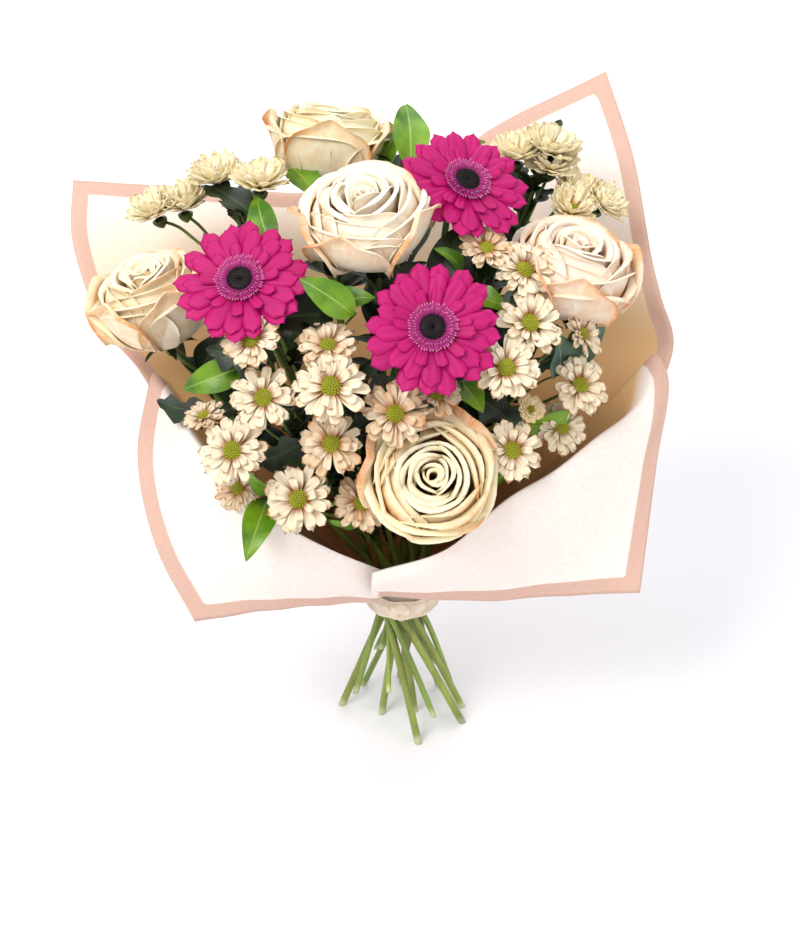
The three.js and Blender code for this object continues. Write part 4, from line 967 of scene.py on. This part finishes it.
def blade(weave, start, tip, width, up, slot, outline="plain", odd=0.5, arch=0.28, rows=15, columns=9):
    """A leaf from start to tip, arched along the rib, folded a little at it and waved at its edge."""
    run = tip - start
    length = np.linalg.norm(run)
    side = unit(np.cross(run, up))
    normal = unit(np.cross(side, run))
    u = np.linspace(0, 1, rows)[:, None]
    v = np.linspace(-1, 1, columns)[None, :]
    middle = lerp(start, tip, 0.5) + normal * length * arch
    rib = (1 - u)[..., None] ** 2 * start + 2 * (u * (1 - u))[..., None] * middle + u[..., None] ** 2 * tip
    if outline == "plain":
        share = np.sin(math.pi * u ** 0.8) ** 0.75 * (1 - 0.12 * u)
    else:
        lobes = 0.72 + 0.28 * np.cos(2 * math.pi * 3.1 * u - 1.2)
        share = np.sin(math.pi * u ** 0.85) ** 0.6 * lobes
    half = 0.5 * width * np.maximum(share, 0.035)
    wave = 0.06 * width * np.sin(9 * u + odd * 9 + 2 * np.sign(v)) * v ** 2
    lift = np.abs(v) * half * 0.28 + wave
    points = rib + (v * half)[..., None] * side + lift[..., None] * normal
    weave.grid(points, u, slot=slot, odd=odd)


def leaves_up(weave, strand, low, high, count, length, width, outline, seed, slot=1):
    """Dark leaves up a strand by the golden angle, between two heights; their dark colour is partly
    painted shade.
    """
    for k in range(count):
        height = low + (high - low) * (k + 0.5) / count
        angle = (k + seed) * GOLDEN_ANGLE + draw(seed + k)
        out = unit(vec(math.cos(angle), math.sin(angle), 0.9))
        start = point_at(strand, height)
        tip = start + out * length * (0.85 + 0.3 * draw(seed * 7 + k))
        blade(weave, start, tip, width, UP, slot, outline, draw(seed + k))


def calyx(weave, rings):
    """The green cup under a head, as its radius at some heights."""
    weave.grid(np.array([polar(r, full_turn(12), z) for r, z in rings]), 0.9, closed=True)


def sepals(weave, count, length, width, droop):
    for k in range(count):
        angle = 2 * math.pi * k / count
        out = vec(math.cos(angle), math.sin(angle), droop)
        blade(weave, 3 * out, 3 * out + length * unit(out), width, UP, 1, arch=0.12, rows=9, columns=5)


for k, rose in enumerate(roses):
    weave = Weave()
    strand = rose["strand"]
    tube(weave, smooth_path(strand["points"], 0), ROSE_STEM, 10, level_cut=True)
    high = rose["base"][2] - 30
    leaves_up(weave, strand, TIE_HEIGHT + 95, high, 2, 42, 24, "plain", k * 3 + 1)
    leaves_up(weave, strand, TIE_HEIGHT + 60, high, 6, 38, 22, "plain", k * 3 + 50)
    leaves_up(weave, strand, high - 60, rose["base"][2] - 14, 7, 46, 26, "plain", k * 3 + 70)
    weave.pose(rose["base"], rose["axis"])
    calyx(weave, ((3.0, -12), (4.4, -9), (5.4, -4), (5.0, 0), (2.0, 1.0)))
    sepals(weave, 5, 21, 7, -0.25)
    piece(f"rose_stalk_{k + 1}", weave, [STEM, DARK_SHADED_LEAF], f"rose_stem_{k + 1}")
for k, gerbera in enumerate(gerberas):
    weave = Weave()
    tube(weave, smooth_path(gerbera["strand"]["points"], 0), GERBERA_STEM, 10, 0.85, level_cut=True)
    weave.pose(gerbera["base"], gerbera["axis"])
    calyx(weave, ((2.6, -9), (4.5, -7), (8.5, -3), (10.5, 1.2), (6, 1.4)))
    sepals(weave, 14, 13, 3.4, 0.25)
    piece(f"gerbera_stalk_{k + 1}", weave, [STEM, DARK_SHADED_LEAF], f"gerbera_stem_{k + 1}")


def twig_leaves(weave, plant, outline, bright_slot, shaded_slot):
    for twig, (base, tip, width, over_fold, bright) in zip(plant["twigs"], plant["leaves"]):
        tube(weave, smooth_path(twig["points"], BELOW_ALL), TWIG, 6, 0.7)
        end = seen_at(*tip) if over_fold else on_dome(*tip)
        start = point_at(twig, twig["points"][-1][2] - 2.5)
        up = TOWARDS if over_fold else dome_normal(end)
        # listed leaves in the light take the bright slot, and the filling leaves deeper in take the other
        # slot, whose colour is painted shade
        blade(weave, start, end, width, up, bright_slot if bright else shaded_slot, outline, draw(width))


for k, spray in enumerate(sprays):
    weave = Weave()
    stem = spray["strand"]
    tube(weave, smooth_path(stem["points"], stem["foot"]), SPRAY_STEM, 8, 0.7, level_cut=True)
    top = stem["points"][-1][2]
    leaves_up(weave, stem, TIE_HEIGHT + 80, top - 25, 2, 46, 26, "lobed", k * 5 + 2)
    leaves_up(weave, stem, TIE_HEIGHT + 60, top - 10, 22, 46, 27, "lobed", k * 5 + 90)
    for n, branch in enumerate(spray["branches"]):
        tube(weave, smooth_path(branch["points"], BELOW_ALL), MUM_STEM, 6)
        top = branch["points"][-1][2]
        leaves_up(weave, branch, top - 90, top - 22, 2, 28, 18, "lobed", k * 9 + n * 3)
    twig_leaves(weave, spray, "lobed", 1, 1)
    for place in spray["places"]:
        weave.pose(place["base"], place["axis"], size=place["size"])
        calyx(weave, ((1.3, -7), (3.4, -5), (5.8, -2), (6.5, 0.8), (4, 1.4)))
    piece(f"spray_{k + 1}", weave, [DARK_STEM, DARK_SHADED_LEAF], f"spray_green_{k + 1}")
for green in greens:
    weave = Weave()
    strand = green["strand"]
    tube(weave, smooth_path(strand["points"], strand["foot"]), GREENS_STEM, 8, 0.5, level_cut=True)
    twig_leaves(weave, green, "plain", 1, 2)
    top = strand["points"][-1][2]
    leaves_up(weave, strand, TIE_HEIGHT + 80, top - 8, 14, 46, 25, "plain", len(green["leaves"]), 2)
    # the ruscus leaves in the light take RUSCUS, and those deeper in take the dark leaf material, which
    # paints their shade
    waxy = green["name"].startswith("eucalyptus")
    materials = [DARK_STEM, EUCALYPTUS if waxy else RUSCUS, EUCALYPTUS if waxy else DARK_SHADED_LEAF]
    piece(green["name"] + "_branch", weave, materials, green["name"])


# ---------------------------------------------------------------- paper
PAPER_NECK = (TIE_HEIGHT - 10, TIE_HEIGHT + 8)
PAPER_THICK = 0.5
PAPER_WAVE = 0.9
# painted warm shade on the inner walls: tan deep in the wrap, fading to cream higher up
TAN_BELOW, PALE_ABOVE = 225, 405  # the heights between which the inner wall turns from tan to cream
# a sheet's neck is an arc: its ends in degrees, and its radius; edges are across, up, depth
# grip is how soon the pull of the side edges fades towards the middle
BACK_SHEET = {
    "neck": (212, -32, NECK_RADIUS + 7.1),
    "wall_left": [
        (-104, 64, 94), (-180, 138, 106), (-216, 195, 82), (-244, 227, 62), (-269, 297, 30),
        (-268, 344, 0),
    ],
    "wall_right": [
        (104, 64, 94), (186, 142, 102), (222, 212, 62), (212, 250, 42), (204, 282, 28),
        (189, 362, 4), (166, 432, -20),
    ],
    "rim": [
        (-268, 344, 0), (-174, 339, -14), (-60, 334, -26), (20, 350, -34), (76, 387, -34),
        (166, 432, -20),
    ],
    "grip": 3,
}
LEFT_SHEET = {
    "neck": (298, 188, NECK_RADIUS + 2.8),
    "fold": [(-12, 27, 98), (-59, 47, 122), (-108, 75, 140), (-166, 133, 128), (-204, 193, 86)],
    "wall_left": [(-14, 10, 54), (-12, 27, 98)],
    "wall_right": [(-88, 74, 70), (-146, 133, 84), (-204, 193, 86)],
    "flap_left": [(-12, 27, 98), (-18, 14, 86), (-24, 2, 54)],
    "flap_right": [(-204, 193, 86), (-216, 125, 112), (-202, 51, 112), (-170, -13, 92)],
    "hem": [(-24, 2, 54), (-100, -3, 80), (-170, -13, 92)],
    "grip": 2,
}
RIGHT_SHEET = {
    "neck": (238, 350, NECK_RADIUS + 4.9),
    "fold": [
        (-24, 27, 118), (35, 47, 142), (89, 92, 156), (130, 116, 148), (162, 141, 132),
        (199, 172, 102), (208, 208, 74),
    ],
    "wall_left": [(-25, 8, 88), (-24, 27, 118)],
    "wall_right": [(84, 76, 72), (144, 142, 84), (208, 208, 74)],
    "flap_left": [(-24, 27, 118), (-25, 20, 113), (-20, 8, 84)],
    "flap_right": [(208, 208, 74), (218, 185, 88), (208, 116, 108), (195, 11, 92)],
    "hem": [(-20, 8, 84), (56, 4, 90), (125, 8, 92), (195, 11, 92)],
    "grip": 2,
}


def spline(points):
    """A centripetal curve through points, asked for by the share of its length."""
    padded = [2 * points[0] - points[1], *points, 2 * points[-1] - points[-2]]
    t = np.linspace(0, 1, 60, endpoint=False)[:, None]
    fine = []
    for k in range(len(points) - 1):
        p0, p1, p2, p3 = padded[k : k + 4]
        steps = (p1 - p0, p2 - p1, p3 - p2)
        d0, d1, d2 = (max(np.linalg.norm(step) ** 0.5, 1e-4) for step in steps)
        t1 = ((p1 - p0) / d0 - (p2 - p0) / (d0 + d1) + (p2 - p1) / d1) * d1
        t2 = ((p2 - p1) / d1 - (p3 - p1) / (d1 + d2) + (p3 - p2) / d2) * d1
        bend = 3 * (p2 - p1) - 2 * t1 - t2
        back = 2 * (p1 - p2) + t1 + t2
        fine.append(p1 + t1 * t + bend * t * t + back * t ** 3)
    fine = np.vstack([*fine, points[-1]])
    length = lengths_along(fine)

    def at(share):
        reached = np.asarray(share) * length[-1]
        return np.stack([np.interp(reached, length, fine[:, axis]) for axis in range(3)], -1)

    return at


def paper_edge(points, before=()):
    return spline([*before, *[seen_at(*p) for p in points]])


def neck_arc(neck, z):
    low, high, radius = neck

    def at(share):
        angle = np.radians(low + (high - low) * np.asarray(share))
        return polar(radius, angle, z)

    return at


def patch(low, high, left, right, grip, s, t):
    """A grid between four edges, one row for each t."""
    rows = []
    for share in t:
        straight = lerp(low(s), high(s), share)
        pull_left = left(share) - lerp(low(0.0), high(0.0), share)
        pull_right = right(share) - lerp(low(1.0), high(1.0), share)
        rows.append(straight + pull_left * (1 - s[:, None]) ** grip + pull_right * s[:, None] ** grip)
    return np.array(rows)


def wall_grid(sheet, upper, s, t):
    low = neck_arc(sheet["neck"], PAPER_NECK[1])
    left = paper_edge(sheet["wall_left"], [low(0.0)])
    right = paper_edge(sheet["wall_right"], [low(1.0)])
    foot = neck_arc(sheet["neck"], PAPER_NECK[0])(s)
    return np.vstack([foot[None], patch(low, upper, left, right, sheet["grip"], s, t)])


def back_grid():
    s = np.linspace(0, 1, 121)
    return wall_grid(BACK_SHEET, paper_edge(BACK_SHEET["rim"]), s, np.linspace(0, 1, 84))


def front_grid(sheet):
    """The wall, then the flap that hangs over the fold, with the paper rounded at the fold."""
    s = np.linspace(0, 1, 101)
    fold = paper_edge(sheet["fold"])
    wall = wall_grid(sheet, fold, s, np.linspace(0, 1, 60))
    edges = [paper_edge(sheet[key]) for key in ("hem", "flap_left", "flap_right")]
    flap = patch(fold, *edges, 1, s, np.linspace(0, 1, 50))
    raised = np.vstack([wall, flap[1:]])
    turn = len(wall) - 1
    for k in range(-6, 7):
        raised[turn + k, :, 2] += 2.4 * math.exp(-((k / 4.0) ** 2))
    for _ in range(5):
        middle = 0.5 * (raised[turn - 3 : turn + 2] + raised[turn - 1 : turn + 4])
        raised[turn - 2 : turn + 3] = 0.5 * raised[turn - 2 : turn + 3] + 0.5 * middle
    return raised


def edge_distance(rows, edges):
    """How far each point is from the nearest of the sheet's bordered edges."""
    shown = len(rows) * 11 // 20
    lines = {"left": rows[shown:, 0], "right": rows[shown:, -1], "top": rows[-1]}
    border = np.vstack([lines[name] for name in edges])
    flat = rows.reshape(-1, 3)
    nearest = np.full(len(flat), 1e9)
    for start in range(0, len(flat), 2000):
        part = flat[start : start + 2000]
        gaps = np.linalg.norm(part[:, None] - border[None], axis=2)
        nearest[start : start + 2000] = gaps.min(axis=1)
    return nearest.reshape(rows.shape[:2])


def paper_normals(rows):
    down = np.gradient(rows, axis=0)
    over = np.gradient(rows, axis=1)
    normals = np.cross(over, down)
    return normals / np.maximum(np.linalg.norm(normals, axis=2), 1e-9)[..., None]


def paper_sheet(name, rows, edges, node, inside_out=False, flap=True):
    """Two faces of paper, with the border printed on the one inside the wrap.

    The tint is the distance from the bordered edges, and the inner face's odd is how much painted warm
    shade it takes, more tan deeper in the wrap.
    """
    if inside_out:
        rows = rows[:, ::-1]
    normals = paper_normals(rows)
    high, wide = rows.shape[:2]
    u = np.linspace(0, 1, wide)[None, :]
    v = np.linspace(0, 1, high)[:, None]
    hold = PAPER_WAVE * ease(v, 0.4, 0.6)
    wave = np.sin(11 * u + 2 * v) * np.sin(5 * v + 1) + 0.6 * np.sin(23 * u - 6 * v) * v
    rows = rows + normals * (wave * hold)[..., None]
    distance = edge_distance(rows, edges)
    weave = Weave()
    place = np.stack([np.broadcast_to(u, distance.shape), np.broadcast_to(v, distance.shape)], -1)
    # painted warm shade: the inner face turns tan lower in the wrap, and on a flap it ends at the fold
    deep = 1 - ease(rows[..., 2], TAN_BELOW, PALE_ABOVE)
    if flap:
        deep = deep * (1 - ease(v, 0.5, 0.53))
    half = normals * PAPER_THICK / 2
    weave.grid(rows - half, distance / 100, place, 0, odd=0.0)
    weave.odds[-deep.size :] = deep.ravel().tolist()
    weave.grid((rows + half)[:, ::-1], distance[:, ::-1] / 100, place[:, ::-1], 1)
    rim = [*range(wide), *[i * wide + wide - 1 for i in range(1, high)]]
    rim += [(high - 1) * wide + i for i in range(wide - 2, -1, -1)]
    rim += [i * wide for i in range(high - 2, 0, -1)]
    for a, b in zip(rim, rim[1:] + rim[:1]):
        over_a, over_b = (high * wide + (k // wide) * wide + (wide - 1 - k % wide) for k in (a, b))
        weave.faces.append((b, a, over_a, over_b))
        weave.slots.append(0)
    return piece(name, weave, [PAPER_PRINTED, PAPER_PLAIN], node)


def paper_material(name, border_share, shade):
    shader = Shader(name, 0.62, (0.1, 0.003, 0.002, 0.0015))
    border = shader.ramp(shader.attribute(), [(0.128, WHITE), (0.136, BLACK)], "LINEAR")
    fibres = shader.noise(shader.within(), (300, 300, 300), 5)
    broad = shader.noise(shader.within(), (9, 9, 9), 3, distortion=0.6)
    body = shader.ramp(fibres, [(0.3, srgb("F6E6DD")), (0.7, srgb("FAEDE5"))])
    # painted warm shade on the inner face: with odd it turns tan, then brown, up to the share given by
    # shade
    tans = zip((0.0, 0.6, 1.0), palette("F3D6AC E6B272 94683A"))
    inner = shader.ramp(shader.attribute("odd"), list(tans), "LINEAR")
    depth = shader.math("MINIMUM", shader.math("MULTIPLY", shader.attribute("odd"), 2.2), shade)
    body = shader.mix(depth, body, inner)
    edge = shader.ramp(fibres, [(0.2, srgb("D2AA9A")), (0.8, srgb("D8B2A2"))])
    shader.colour(shader.mix(shader.math("MULTIPLY", border, border_share), body, edge))
    shader.bump(shader.math("ADD", shader.math("MULTIPLY", fibres, 0.12), broad), 0.25, 0.002)
    return shader.material


# the inner face has the printed border and the painted warm shade; the outer face has a faint border and
# no shade
PAPER_PRINTED = paper_material("paper_printed", 1.0, 0.95)
PAPER_PLAIN = paper_material("paper_plain", 0.12, 0.0)
left_rows, right_rows = front_grid(LEFT_SHEET), front_grid(RIGHT_SHEET)
paper_back = paper_sheet("paper_back", back_grid(), ("left", "right", "top"), "wrap_back", True, False)
paper_left = paper_sheet("paper_left", left_rows, ("left", "top"), "wrap_left", True)
paper_right = paper_sheet("paper_right", right_rows, ("right", "top"), "wrap_right")


# ---------------------------------------------------------------- ribbon
# the ribbon's turns: their lower and upper edge from its middle, and how far they run out of level
RIBBON_INNER = NECK_RADIUS + 9.2
RIBBON_TURNS = [(-8.5, -1.5, 0.8), (-5.0, 3.0, -1.2), (-1.0, 6.0, 0.9), (3.0, 8.5, -0.6)]
KNOT_SIZE = (8.4, 4.6, 7.2)


def ribbon_turns():
    """Gathered turns of soft ribbon round the neck, with a small knot in front."""
    weave = Weave(vec(0, 0, TIE_HEIGHT - 1), UP)
    turn = full_turn(120)
    for n, (low, high, lean) in enumerate(RIBBON_TURNS):
        rows = []
        for share in np.linspace(0, 1, 13):
            belly = math.sin(math.pi * share)
            folds = 0.5 * math.sin(6 * math.pi * share + 2 * n)
            pleats = 0.35 * np.sin(17 * turn + 5 * share + 2 * n)
            pleats += 0.25 * np.sin(31 * turn - 4 * share + n)
            r = RIBBON_INNER + 0.3 + 1.3 * belly + belly * (folds + pleats) + 0.15 * n
            z = lerp(low, high, share) + lean * np.sin(turn + n)
            z += 0.5 * np.sin(9 * turn + 3 * n) * (1 - belly)
            rows.append(polar(r, turn, z))
        weave.grid(np.array(rows), 0.5, closed=True)
    weave.pose(vec(-2, -RIBBON_INNER - 3.4, TIE_HEIGHT - 1), UP)
    turn = full_turn(48)
    rows = []
    for down in np.linspace(0.05, math.pi - 0.05, 19):
        folds = 1 + 0.07 * np.sin(7 * turn + 2.5 * down) + 0.05 * np.sin(4 * turn - 6 * down)
        flat = math.sin(down) * folds
        ring = np.stack([flat * np.cos(turn), math.cos(down) * folds, flat * np.sin(turn)], -1)
        rows.append(ring * KNOT_SIZE)
    weave.grid(np.array(rows), 0.5, closed=True)
    return weave


def ribbon_material():
    shader = Shader("ribbon_cloth", 0.7, Sheen_Weight=0.3)
    grain = shader.noise(shader.within(), (900, 900, 120), 4)
    broad = shader.noise(shader.within(), (120, 120, 120), 3)
    shader.colour(shader.ramp(broad, [(0.3, srgb("E3CDB2")), (0.7, srgb("F6E8D6"))]))
    shader.bump(shader.math("ADD", grain, broad), 0.5, 0.0008)
    return shader.material


RIBBON_CLOTH = ribbon_material()
ribbon = piece("ribbon_turns", ribbon_turns(), [RIBBON_CLOTH], "ribbon", 0.4)


# ---------------------------------------------------------------- stage
def linked(name, data):
    made = bpy.data.objects.new(name, data)
    bpy.context.scene.collection.objects.link(made)
    return made


def aimed(name, data, place, along):
    """A lamp or a camera that stands at place and looks along a direction."""
    made = linked(name, data)
    made.location = place
    made.rotation_mode = "QUATERNION"
    made.rotation_quaternion = Vector(along).to_track_quat("-Z", "Y")
    return made


def sweep():
    """A pale floor that curves up into the backdrop far behind."""
    edge, radius = 3.2, 1.6
    profile = [(-3.0, 0.0), (edge, 0.0)]
    for a in np.linspace(0.1, math.pi / 2, 12):
        profile.append((edge + radius * math.sin(a), radius - radius * math.cos(a)))
    profile.append((edge + radius, 6.0))
    points = [(x, y, z) for y, z in profile for x in (-6.0, 6.0)]
    faces = [(2 * k, 2 * k + 1, 2 * k + 3, 2 * k + 2) for k in range(len(profile) - 1)]
    mesh = bpy.data.meshes.new("sweep")
    mesh.from_pydata(points, [], faces)
    mesh.polygons.foreach_set("use_smooth", [True] * len(faces))
    shader = Shader("sweep", 0.9, Base_Color=(0.88, 0.875, 0.9, 1), Specular_IOR_Level=0.1)
    mesh.materials.append(shader.material)
    made = linked("sweep", mesh)


def area_light(name, place, target, size, power, colour=(1, 1, 1)):
    data = bpy.data.lights.new(name, "AREA")
    data.energy = power
    data.size = size
    data.color = colour
    aimed(name, data, place, Vector(target) - Vector(place))


def camera():
    """The photograph's view, from the front."""
    upward, towards = gaze(CAMERA_PITCH)
    aim = (AXIS_POINT + RIGHT * GAZE_AIM[0] + upward * GAZE_AIM[1] + SHIFT) / 1000
    data = bpy.data.cameras.new("camera")
    data.sensor_width = 36
    data.lens = FOCAL_PIXELS * data.sensor_width / PICTURE_PIXELS
    place = aim + towards * (GAZE_DISTANCE / 1000)
    bpy.context.scene.camera = aimed("camera", data, place.tolist(), (-towards).tolist())


camera()
sweep()
area_light("key", (-1.3, -1.6, 2.4), (0, 0, 0.3), 1.4, 62, (1, 0.985, 0.96))
area_light("fill", (2.2, -1.8, 1.4), (0, 0, 0.3), 2.4, 20)
area_light("top", (0.2, 0.8, 2.8), (0, 0, 0.2), 2.4, 34)
area_light("backdrop", (0, 1.6, 2.6), (0, 4.6, 1.2), 2.4, 120)
bpy.context.scene.view_settings.view_transform = "Standard"
world = bpy.data.worlds.new("studio")
world.use_nodes = True
sky = world.node_tree.nodes["Background"]
sky.inputs["Color"].default_value = (0.97, 0.98, 1.0, 1)
sky.inputs["Strength"].default_value = 0.55
bpy.context.scene.world = world
